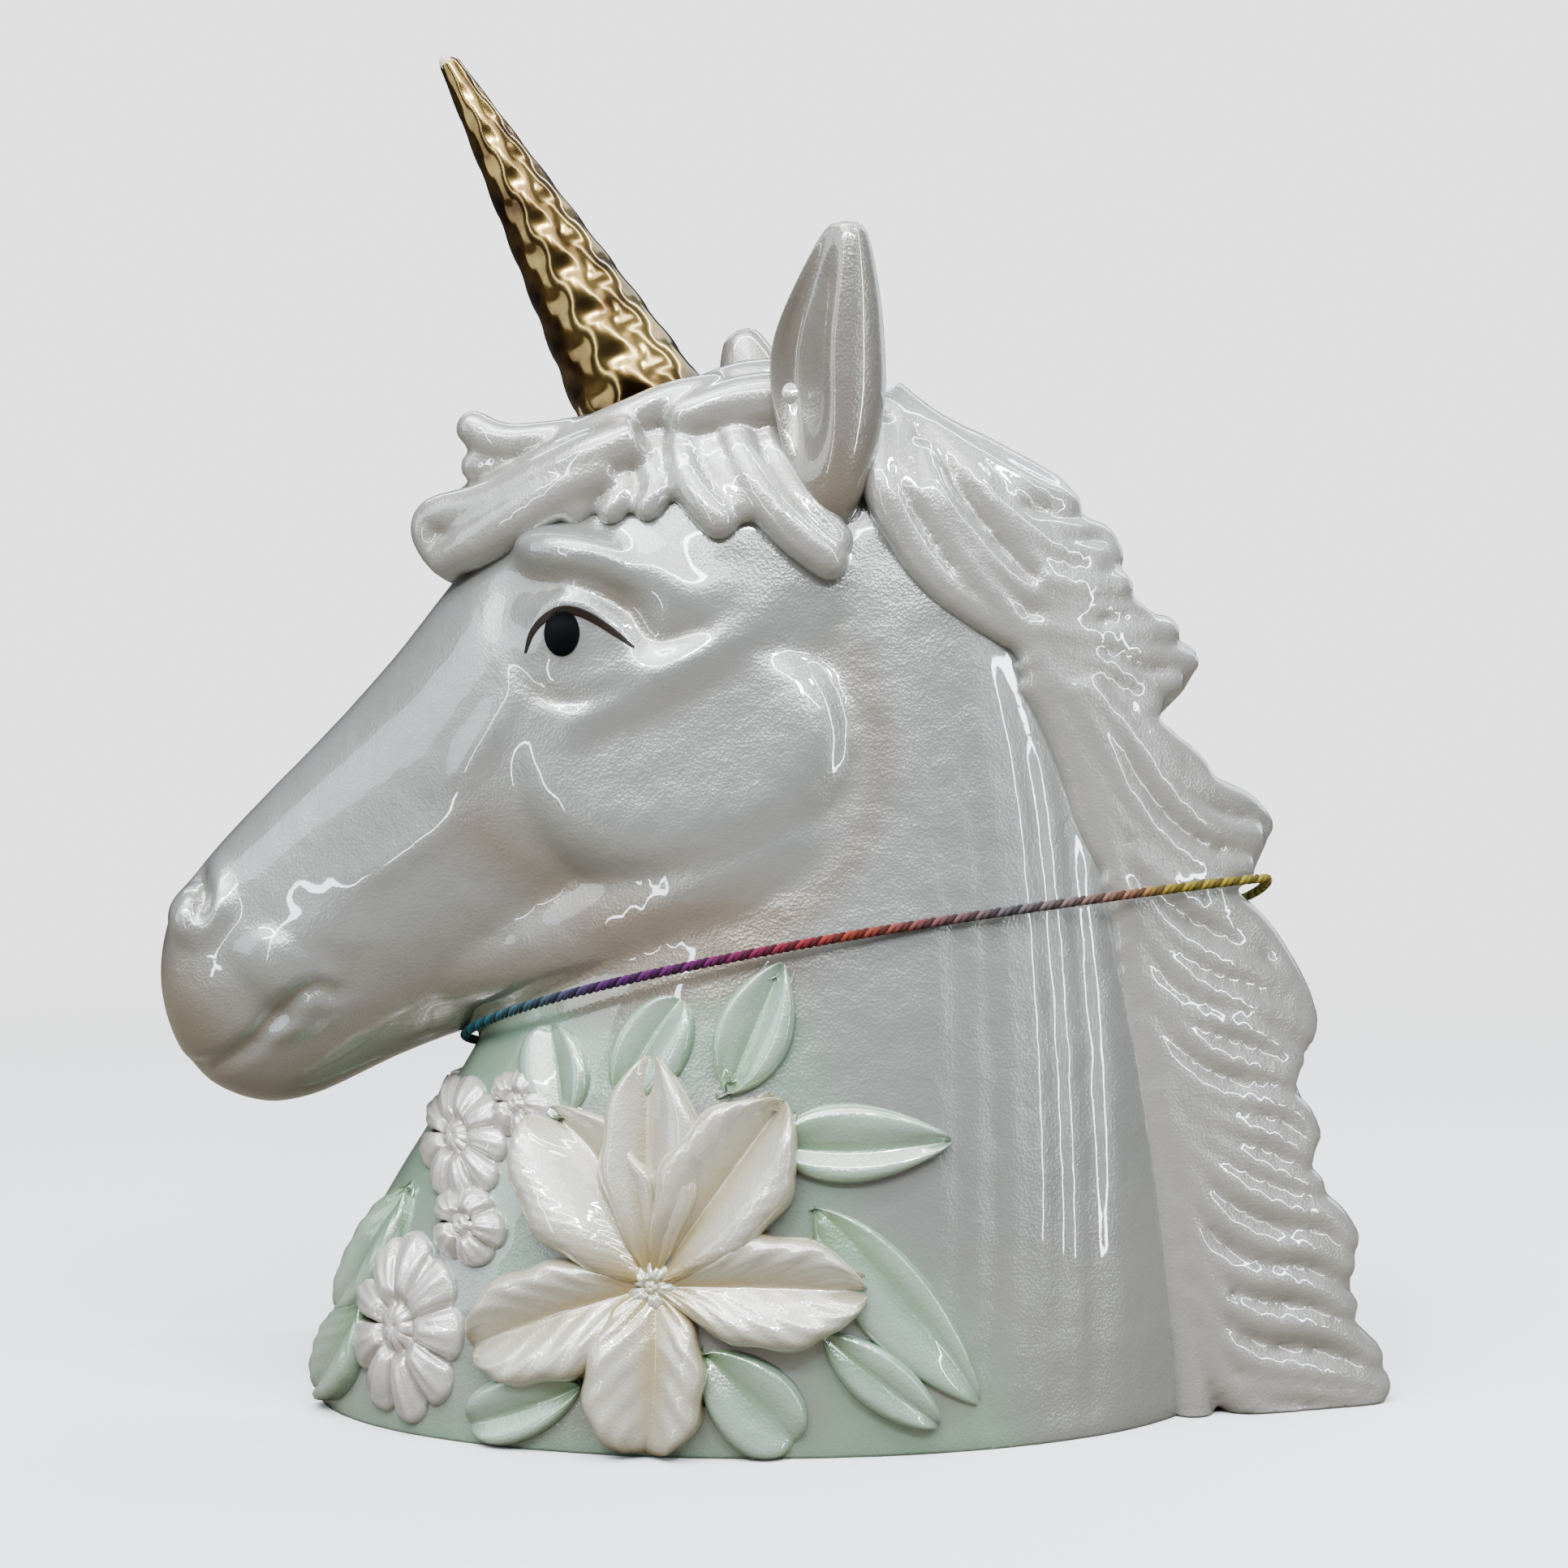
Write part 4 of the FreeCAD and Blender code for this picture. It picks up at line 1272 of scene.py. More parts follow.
@dataclass
class Horn:
    """The gilded horn: a cone with staggered rows of soft bumps and a chipped tip."""

    foot: Point3 = (-18.5, 0.0, 137.5)
    tip: Point3 = (-46.5, 0.0, 187.5)
    base_radius: float = 9.3
    tip_radius: float = 1.3
    root: float = 5.0
    starts: int = 6
    pitch: float = 7.2
    bump: float = 0.2
    rows: int = 170
    tip_rounding: float = 1.6
    bare_tip: float = 1.3
    ragged: float = 0.35
    sides: int = 128

    def build(self, gold: bpy.types.Material, bare: bpy.types.Material) -> None:
        """Makes the horn."""
        foot, tip = np.array(self.foot), np.array(self.tip)
        length = float(np.linalg.norm(tip - foot))
        axis = (tip - foot) / length
        bpy.ops.mesh.primitive_grid_add(x_subdivisions=self.sides, y_subdivisions=self.rows, size=2.0)
        horn = bpy.context.object
        horn.name = "horn"
        alone(horn)
        grid = coordinates(horn) * MM
        turn = (grid[:, 0] + 1) * math.pi
        height = (grid[:, 1] + 1) / 2 * (length + self.root) - self.root
        radius = self.base_radius + (self.tip_radius - self.base_radius) * height / length
        size = radius / self.base_radius
        bumps = np.cos(self.starts * turn) * np.cos(2 * math.pi * height / self.pitch)
        near_tip = np.clip((length - height) / 9.0, 0, 1)
        radius = radius + self.bump * (bumps - 0.4 * np.abs(bumps)) * size**0.7 * near_tip
        end = np.clip((height - (length - self.tip_rounding)) / self.tip_rounding, 0, 1)
        radius *= np.sqrt(np.maximum(1 - 0.9 * end**2, 0.01))
        height = height + end * 0.5 * np.sin(turn + 0.8)
        across = np.cross(axis, (0, 1, 0))
        across /= np.linalg.norm(across)
        points = foot + height[:, None] * axis + (radius * np.cos(turn))[:, None] * across
        points[:, 1] += radius * np.sin(turn)
        move_points(horn, points)
        with editing(horn):
            bpy.ops.mesh.remove_doubles(threshold=0.02 * MM)
            bpy.ops.mesh.fill_holes(sides=0)
            turn_faces_out()
        horn.data.materials.append(gold)
        horn.data.materials.append(bare)
        for face in horn.data.polygons:
            place = np.array(face.center) / MM - foot
            ragged = self.ragged * math.sin(5 * place[1] + 3 * place[0])
            face.material_index = int(float(place @ axis) > length - self.bare_tip + ragged)
        finished(horn, "bust", ["horn"], "gold_lustre")


@dataclass
class Eye:
    """The painted pupil and the line along the upper lid, thin on the glaze."""

    centre: Point = (-28.2, 105.0)
    half_width: float = 2.35
    half_height: float = 3.1
    lash: tuple[tuple[float, float, float], ...] = (
        (-33.2, 102.4, 0.15),
        (-32.3, 105.0, 0.38),
        (-30.5, 107.0, 0.5),
        (-28.0, 108.1, 0.56),
        (-25.0, 107.4, 0.55),
        (-21.6, 105.3, 0.42),
        (-18.6, 103.0, 0.12),
    )
    paint: float = 0.12

    def build(self, skin: Skin, black: bpy.types.Material, brown: bpy.types.Material) -> None:
        """Paints both eyes."""
        for side in Side:
            pupil = pressed(f"{side.value}_pupil", skin, self.pupil_point, (28, 28), self.paint, side)
            pupil.data.materials.append(black)
            finished(pupil, "bust", [], "pearl_glaze")
            lash = pressed(f"{side.value}_lash_line", skin, self.lash_point, (80, 6), self.paint, side)
            lash.data.materials.append(brown)
            finished(lash, "bust", [], "pearl_glaze")

    def pupil_point(self, u: float, v: float) -> Point3:
        """A point of the pupil: its place in the side view and its height over the glaze."""
        a, b = 2 * u - 1, v
        x = self.centre[0] + self.half_width * a * math.sqrt(1 - b * b / 2)
        z = self.centre[1] + self.half_height * b * math.sqrt(1 - a * a / 2)
        return x, z, self.paint

    def lash_point(self, u: float, v: float) -> Point3:
        """A point of the lash line."""
        rows = smooth_line(self.lash, 12)
        place = u * (len(rows) - 1)
        i = min(int(place), len(rows) - 2)
        x, z, half = rows[i] + (rows[i + 1] - rows[i]) * (place - i)
        run = rows[i + 1] - rows[i]
        length = math.hypot(run[0], run[1])
        return x - run[1] / length * half * v, z + run[0] / length * half * v, self.paint


def pressed(
    name: str,
    skin: Skin,
    shape: Callable[[float, float], Point3],
    cells: tuple[int, int],
    thickness: float,
    side: Side,
    pool: Callable[[float, float], float] | None = None,
    wraps: bool = False,
) -> bpy.types.Object:
    """A sheet of clay or paint pressed on to the bust's skin.

    Args:
        name: the piece's name.
        skin: the skin that it lies on.
        shape: gives, for a share along the piece and a share from -1 to 1 across it, the place in
            the side view and the height over the skin.
        cells: how finely the sheet is divided along and across.
        thickness: the sheet's thickness in millimetres.
        side: the side of the bust.
        pool: how much glaze has pooled at a point, with shade painted there, from 0 to 1.
        wraps: true for a piece that is wrapped round the front from its middle line.

    Returns:
        The piece as a closed mesh.
    """
    bpy.ops.mesh.primitive_grid_add(x_subdivisions=cells[0], y_subdivisions=cells[1], size=2.0)
    sheet = alone(bpy.context.object)
    sheet.name = name
    flip = -1 if side is Side.RIGHT else 1
    grid = coordinates(sheet) * MM
    points = np.empty_like(grid)
    pooled_and_shaded = np.zeros(len(grid))
    for i, (a, v, _) in enumerate(grid):
        u = (a + 1) / 2
        x, z, height = shape(u, v)
        place, normal = skin.wrapped(shape(u, 0.0), x, z) if wraps else skin.at(x, max(z, LOWEST))
        points[i] = place + normal * height
        points[i, 1] *= flip
        points[i, 2] = max(points[i, 2], LOWEST)
        pooled_and_shaded[i] = pool(u, v) if pool else 0.0
    move_points(sheet, points)
    if flip < 0:
        sheet.data.flip_normals()
    # the pooled glaze with the shade painted in the sprig's folds and where it meets the skin
    painted(sheet, pooled_and_shaded, 0 * pooled_and_shaded, 0 * pooled_and_shaded)
    modified(sheet, "SOLIDIFY", thickness=thickness * MM, offset=1.0 if outward(sheet, flip) else -1.0)
    with editing(sheet):
        turn_faces_out()
    return sheet


def outward(sheet: bpy.types.Object, flip: int) -> bool:
    """True if the sheet's normals point into the bust."""
    return float(point_normals(sheet)[:, 1].mean()) * flip > 0


# ------------------------------------------------------------------ sprigs on the chest
@dataclass(frozen=True)
class Blade:
    """A petal or leaf pressed in a mould.

    Args:
        name: its name, without the side.
        foot: where it starts in the side view.
        tip: where it ends.
        half_width: half of its greatest width.
        height: how far its rim stands over the skin.
        fullest: where along it the greatest width lies, from 0 to 1.
        blunt: 1 for a pointed tip, 2 for an oval one.
        crease: where its fold runs, from -1 to 1 across.
        cup: how much lower the fold lies than the rim, as a share of the height.
        foot_height: the height at the foot as a share of the rim's.
        veins: how many fine lines run from the fold to the rim.
        wave: how wavy its rim is, as a share of its width.
        wraps: true if it is wrapped round the front of the neck.
    """

    name: str
    foot: Point
    tip: Point
    half_width: float
    height: float
    fullest: float = 0.56
    blunt: float = 1.7
    crease: float = 0.0
    cup: float = 0.6
    foot_height: float = 0.15
    veins: float = 0.0
    wave: float = 0.0
    wraps: bool = False

    def point(self, u: float, v: float) -> Point3:
        """A point of the blade: its place in the side view and its height over the skin."""
        share = u ** (math.log(0.5) / math.log(self.fullest))
        width = self.half_width * max(1 - (2 * share - 1) ** 2, 0) ** (1 / self.blunt)
        ripple = math.sin(19 * u + 2.2 * math.copysign(1, v) + self.foot[0])
        width *= 1 + self.wave * ripple * min(1, abs(v) * 1.4)
        dx, dz = self.tip[0] - self.foot[0], self.tip[1] - self.foot[1]
        length = math.hypot(dx, dz)
        x = self.foot[0] + dx * u - dz / length * width * v
        z = self.foot[1] + dz * u + dx / length * width * v
        return x, z, self.rise(u, v)

    def rise(self, u: float, v: float) -> float:
        """The height over the skin."""
        off = abs(v - self.crease) / (1 + abs(self.crease))
        cup = 1 - self.cup * math.exp(-((off / 0.42) ** 2)) - 0.08 * math.exp(-((off / 0.06) ** 2))
        along = self.foot_height + (1 - self.foot_height) * math.sin(math.pi / 2 * min(1, u / 0.5))
        rim = max(1 - abs(v) ** 6, 0) ** 0.5 * max(1 - u**12, 0) ** 0.5
        line = 0.0
        if self.veins:
            line = 0.16 * math.sin(self.veins * (u - 0.55 * off) * 2 * math.pi) * min(1, off / 0.3) * rim
        return self.height * along * cup * rim + line - 0.45

    def pool(self, u: float, v: float) -> float:
        """How much glaze has pooled at a point, with painted shade in the fold, round the edge where it meets
        the skin and at the foot.
        """
        off = abs(v - self.crease)
        fold = 0.95 * math.exp(-((off / 0.3) ** 2)) * (1 - 0.6 * u)
        rim = 0.9 * max(abs(v) ** 6, u**12)
        throat = math.exp(-((u / 0.26) ** 2))
        return min(1.0, max(fold, rim, throat))


@dataclass(frozen=True)
class Daisy:
    """A round flower with a button in its middle.

    Args:
        name: its name, without the side.
        centre: its middle in the side view.
        radii: its reach along and up.
        petals: how many petals it has.
        height: how far it stands over the skin.
    """

    name: str
    centre: Point
    radii: Point
    petals: int
    height: float

    def point(self, u: float, v: float) -> Point3:
        """A point of the flower: its place in the side view and its height over the skin."""
        reach, turn = u, math.pi * v
        lobe = abs(math.cos(self.petals * turn / 2))
        edge = 0.84 + 0.16 * lobe**0.6
        x = self.centre[0] + self.radii[0] * reach * edge * math.cos(turn)
        z = self.centre[1] + self.radii[1] * reach * edge * math.sin(turn)
        groove = 0.42 * (1 - lobe**0.5) * min(1, max(0, (reach - 0.22) / 0.25))
        button = 0.16 * math.exp(-((reach / 0.17) ** 4)) - 0.30 * math.exp(-(((reach - 0.27) / 0.07) ** 2))
        dish = 0.72 + 0.28 * math.sin(math.pi * min(1, reach / 0.85))
        rim = max(1 - reach**9, 0) ** 0.5
        fine = 0.05 * math.cos(self.petals * 3 * turn) * min(1, max(0, (reach - 0.35) / 0.2)) * rim
        return x, z, self.height * ((dish - groove + button) * rim + fine) - 0.4

    def pool(self, u: float, v: float) -> float:
        """How much glaze has pooled at a point, with painted shade in the grooves between the petals and round
        the button.
        """
        lobe = abs(math.cos(self.petals * math.pi * v / 2))
        return min(1.0, 0.6 * (1 - lobe**0.4) + 0.6 * math.exp(-(((u - 0.27) / 0.08) ** 2)))


LILY = (-15.6, 21.0)


def lily_petal(
    number: int, turn: float, length: float, half_width: float, height: float, **more: float
) -> Blade:
    """One of the lily's petals, turned about its middle."""
    angle = math.radians(turn)
    foot = (LILY[0] + 0.6 * math.cos(angle), LILY[1] + 0.6 * math.sin(angle))
    tip = (LILY[0] + length * math.cos(angle), LILY[1] + length * math.sin(angle))
    return Blade(f"lily_petal_{number}", foot, tip, half_width, height, **more)


@dataclass
class Sprigs:
    """The lily, daisies, blossoms and leaves pressed on to both sides of the chest."""

    petals: tuple[Blade, ...] = (
        lily_petal(1, 126, 26.0, 8.8, 6.0, crease=-0.38, veins=13, cup=0.85, blunt=1.45, wave=0.05),
        lily_petal(2, 54, 29.0, 8.2, 5.8, crease=0.05, veins=9, cup=0.8, blunt=1.35, wave=0.05),
        lily_petal(3, -1, 27.6, 7.6, 5.4, crease=0.1, veins=6, cup=0.55, blunt=1.3, wave=0.04),
        lily_petal(4, 267, 20.6, 8.0, 5.6, crease=0.15, blunt=2.8, cup=0.5, veins=5, wave=0.04),
        lily_petal(5, 201, 25.2, 7.6, 5.2, crease=-0.1, cup=0.65, veins=6, blunt=1.7, wave=0.05),
        lily_petal(6, 90, 29.0, 6.8, 4.2, crease=0.1, cup=0.6, blunt=1.25, wave=0.05),
    )
    leaves: tuple[Blade, ...] = (
        Blade("leaf_upright", (-6.0, 45.0), (1.2, 62.0), 5.2, 2.6, 0.45, 1.1, 0.05, 0.75, 0.6),
        Blade("leaf_side", (0.0, 39.0), (23.0, 39.2), 5.2, 2.7, 0.4, 1.15, -0.15, 0.5, 0.8),
        Blade("leaf_sweeping", (5.0, 31.0), (26.5, 5.5), 5.4, 1.7, 0.45, 1.15, 0.3, 0.4, 0.8),
        Blade("leaf_tongue", (6.0, 15.5), (21.0, 3.4), 3.8, 2.6, 0.5, 1.3, 0.0, 0.2, 0.5),
        Blade("leaf_foot_back", (-9.0, 13.0), (2.6, 1.6), 5.8, 2.6, 0.6, 2.2, 0.1, 0.5, 0.5),
        Blade("leaf_foot_front", (-24.5, 8.6), (-39.5, 2.6), 4.4, 2.8, 0.6, 2.0, 0.1, 0.5, 0.5),
        Blade("leaf_throat_back", (-20.0, 44.0), (-12.0, 57.0), 5.0, 2.4, 0.5, 1.8, 0.1, 0.6, 0.5),
        Blade("leaf_throat_front", (-28.0, 41.0), (-30.0, 53.0), 5.0, 2.4, 0.5, 1.8, -0.1, 0.6, 0.5),
        Blade("leaf_front_high", (-49.5, 30.0), (-60.0, 12.0), 5.6, 3.0, 0.5, 1.6, 0.0, 0.5, 0.5, 5, wraps=True),
        Blade("leaf_front_low", (-55.0, 15.0), (-62.4, 1.0), 6.0, 3.4, 0.55, 1.4, 0.0, 0.5, 0.5, 5, wraps=True),
    )
    flowers: tuple[Daisy, ...] = (
        Daisy("daisy_low", (-48.5, 13.4), (8.4, 12.4), 9, 3.2),
        Daisy("daisy_high", (-41.8, 37.3), (6.8, 8.2), 9, 2.8),
        Daisy("blossom_middle", (-40.0, 26.9), (5.4, 5.2), 5, 3.2),
        Daisy("blossom_high", (-33.6, 42.4), (4.6, 5.0), 5, 2.6),
        Daisy("lily_heart", LILY, (3.4, 3.4), 5, 1.4),
    )

    clay: float = 1.6

    def build(
        self, skin: Skin, cream: bpy.types.Material, green: bpy.types.Material, white: bpy.types.Material
    ) -> None:
        """Presses every sprig on to both sides."""
        for side in Side:
            for blade in self.petals:
                self.press(blade, skin, (44, 30), side, cream, "cream_wash")
            for blade in self.leaves:
                self.press(blade, skin, (32, 20), side, green, "green_wash")
            for flower in self.flowers:
                kind = (cream, "cream_wash") if flower.name == "lily_heart" else (white, "pearl_glaze")
                self.press(flower, skin, (20, 108), side, *kind)

    def press(
        self,
        sprig: Blade | Daisy,
        skin: Skin,
        cells: tuple[int, int],
        side: Side,
        glaze: bpy.types.Material,
        slot: str,
    ) -> None:
        """Presses one sprig on to one side."""
        name = f"{side.value}_{sprig.name}"
        wraps = isinstance(sprig, Blade) and sprig.wraps
        piece = pressed(name, skin, sprig.point, cells, self.clay, side, sprig.pool, wraps)
        piece.data.materials.append(glaze)
        finished(piece, "bust", [name], slot)


# ------------------------------------------------------------------ yarn and plug
@dataclass
class Yarn:
    """Three twisted plies, pulled tight round the throat and mane and knotted on the right."""

    route: tuple[Point, ...] = (
        (28.6, 27.4),
        (9.7, 33.8),
        (-17.0, 34.0),
        (-38.6, 20.8),
        (-43.6, 5.5),
        (-43.6, -5.0),
        (-33.0, -19.1),
        (-13.2, -27.0),
        (18.1, -27.0),
        (66.4, -11.1),
        (68.4, -5.2),
        (68.4, 4.6),
        (65.1, 12.6),
        (31.4, 26.26),
    )
    level: float = 57.7
    rise_back: float = 0.186
    fall_right: float = 0.22
    diameter: float = 1.4
    twist: float = 3.0
    ply_radius: float = 0.23
    ply_lift: float = 0.26
    knot_turns: float = 1.6
    knot_radius: float = 1.05
    knot_reach: float = 0.9
    knot_tails: tuple[float, float] = (13.0, 10.0)
    tones: tuple[float, float, float] = (0.22, 0.45, 0.75)
    strength: float = 0.5
    dyes: tuple[tuple[float, Colour], ...] = (
        (0.00, (0.10, 0.20, 0.50)),
        (0.10, (0.26, 0.08, 0.36)),
        (0.20, (0.06, 0.36, 0.24)),
        (0.30, (0.00, 0.20, 0.24)),
        (0.36, (0.005, 0.20, 0.25)),
        (0.42, (0.08, 0.15, 0.22)),
        (0.455, (0.16, 0.03, 0.22)),
        (0.50, (0.26, 0.02, 0.20)),
        (0.54, (0.48, 0.03, 0.08)),
        (0.575, (0.58, 0.09, 0.04)),
        (0.61, (0.40, 0.14, 0.14)),
        (0.65, (0.24, 0.21, 0.22)),
        (0.68, (0.40, 0.26, 0.25)),
        (0.71, (0.56, 0.22, 0.12)),
        (0.735, (0.62, 0.45, 0.03)),
        (0.82, (0.58, 0.46, 0.05)),
        (0.92, (0.10, 0.38, 0.16)),
        (1.00, (0.08, 0.22, 0.46)),
    )

    def place(self, x: float, y: float) -> Point3:
        """A point of the yarn's plane, in metres."""
        return x * MM, y * MM, (self.level + self.rise_back * x - self.fall_right * y) * MM

    def line(self) -> np.ndarray:
        """The yarn's smooth middle line, in millimetres."""
        curve = bpy.data.curves.new("yarn_line", "CURVE")
        curve.dimensions = "3D"
        curve.resolution_u = 24
        spline = curve.splines.new("NURBS")
        spline.points.add(len(self.route) - 1)
        for point, (x, y) in zip(spline.points, self.route):
            point.co = (*self.place(x, y), 1.0)
        spline.order_u = 3
        spline.use_endpoint_u = True
        holder = bpy.data.objects.new("yarn_line", curve)
        mesh = bpy.data.meshes.new_from_object(holder)
        flat = np.empty(3 * len(mesh.vertices))
        mesh.vertices.foreach_get("co", flat)
        bpy.data.objects.remove(holder)
        return flat.reshape(-1, 3) / MM

    def plies(self, name: str, line: np.ndarray, dye: Callable[[float], Colour]) -> bpy.types.Object:
        """Three plies wound round a line.

        Args:
            name: the piece's name.
            line: the points that the yarn follows.
            dye: the colour at a share of the length.

        Returns:
            The yarn as one mesh, dyed along its length.
        """
        gaps = np.linalg.norm(np.diff(line, axis=0), axis=1)
        along = np.concatenate([[0], np.cumsum(gaps)])
        steps = max(int(along[-1] / self.twist * 10), 12)
        places = np.linspace(0, along[-1], steps)
        middle = np.stack([np.interp(places, along, line[:, i]) for i in range(3)], axis=1)
        ahead = np.gradient(middle, axis=0)
        ahead /= np.linalg.norm(ahead, axis=1)[:, None]
        side = np.cross(ahead, (0.05, 0.02, 1.0) if abs(ahead[:, 2].mean()) < 0.7 else (1.0, 0.1, 0.0))
        side /= np.linalg.norm(side, axis=1)[:, None]
        up = np.cross(side, ahead)
        curve = bpy.data.curves.new(name, "CURVE")
        curve.dimensions = "3D"
        curve.bevel_depth = self.diameter * self.ply_radius * MM
        curve.bevel_resolution = 2
        curve.use_fill_caps = True
        for ply in range(3):
            turn = 2 * math.pi * (places / self.twist + ply / 3)
            outwards = np.cos(turn)[:, None] * side + np.sin(turn)[:, None] * up
            points = middle + self.diameter * self.ply_lift * outwards
            spline = curve.splines.new("POLY")
            spline.points.add(steps - 1)
            spline.points.foreach_set("co", np.column_stack([points * MM, np.ones(steps)]).ravel())
        yarn = meshed(name, curve)
        spots = coordinates(yarn)
        tree = KDTree(len(middle))
        for i, spot in enumerate(middle):
            tree.insert(spot, i)
        tree.balance()
        colours = np.ones((len(spots), 4))
        each = len(spots) // 3
        for i, spot in enumerate(spots):
            tone = self.tones[min(i // each, 2)] * self.strength
            colours[i, :3] = [tone * part for part in dye(places[tree.find(spot)[1]] / along[-1])]
        store_colours(yarn, "dye", colours)
        return yarn

    def dye(self, share: float) -> Colour:
        """The yarn's colour at a share of its length."""
        stops = [stop for stop, _ in self.dyes]
        return tuple(float(np.interp(share, stops, [colour[i] for _, colour in self.dyes])) for i in range(3))

    def build(self, wool: bpy.types.Material) -> None:
        """Makes the yarn and its knot."""
        line = self.line()
        yarn = self.plies("neck_yarn", line, self.dye)
        yarn.data.materials.append(wool)
        finished(yarn, "bust", ["neck_yarn"], "variegated_yarn")
        start, end = line[0], line[-1]
        middle = (start + end) / 2
        turns = np.linspace(0, 2 * math.pi * self.knot_turns, 40)
        across = (start - end) / np.linalg.norm(start - end)
        wraps = [
            middle
            + across * (self.knot_reach * (t / turns[-1] - 0.5) * 2)
            + np.array([0, math.cos(t), math.sin(t)]) * self.knot_radius
            for t in turns
        ]
        pieces = [self.plies("yarn_knot", np.array(wraps), lambda share: self.dyes[0][1])]
        for way, length in zip((-1, 1), self.knot_tails):
            lean = np.array([way * 0.16, 0.14, -1.0])
            lean /= np.linalg.norm(lean)
            foot = middle + np.array([way * 0.6, 0, 0])
            tail = [foot + lean * length * t for t in np.linspace(0, 1, 16)]
            pieces.append(self.plies("tail", np.array(tail), lambda share: self.dyes[0][1]))
        knot = joined("yarn_knot", pieces)
        knot.data.materials.append(wool)
        finished(knot, "bust", ["yarn_knot"], "variegated_yarn")


def wool_material() -> bpy.types.Material:
    """Matt dyed wool with a fibrous bump and a soft sheen."""
    material, tree, shader = blank_material("variegated yarn")
    dye = tree.nodes.new("ShaderNodeAttribute")
    dye.attribute_name = "dye"
    tree.links.new(dye.outputs["Color"], shader.inputs["Base Color"])
    tree.links.new(bumped(tree, noise(tree, 6000.0), 0.6, 0.0001), shader.inputs["Normal"])
    settings = {"Roughness": 0.9, "Specular IOR Level": 0.2, "Sheen Weight": 0.08, "Sheen Roughness": 0.4}
    set_sockets(shader, settings)
    return material


def gold_material() -> bpy.types.Material:
    """Bright gold fired over glaze, thinner and browner in patches."""
    material, tree, shader = blank_material("gold lustre")
    gold = two_tone(tree, noise(tree, 160.0, 4.0), (0.07, 0.034, 0.010), (0.36, 0.24, 0.075))
    tree.links.new(gold, shader.inputs["Base Color"])
    set_sockets(shader, {"Roughness": 0.16, "Metallic": 1.0, "Coat Weight": 0.3, "Coat Roughness": 0.03})
    return material


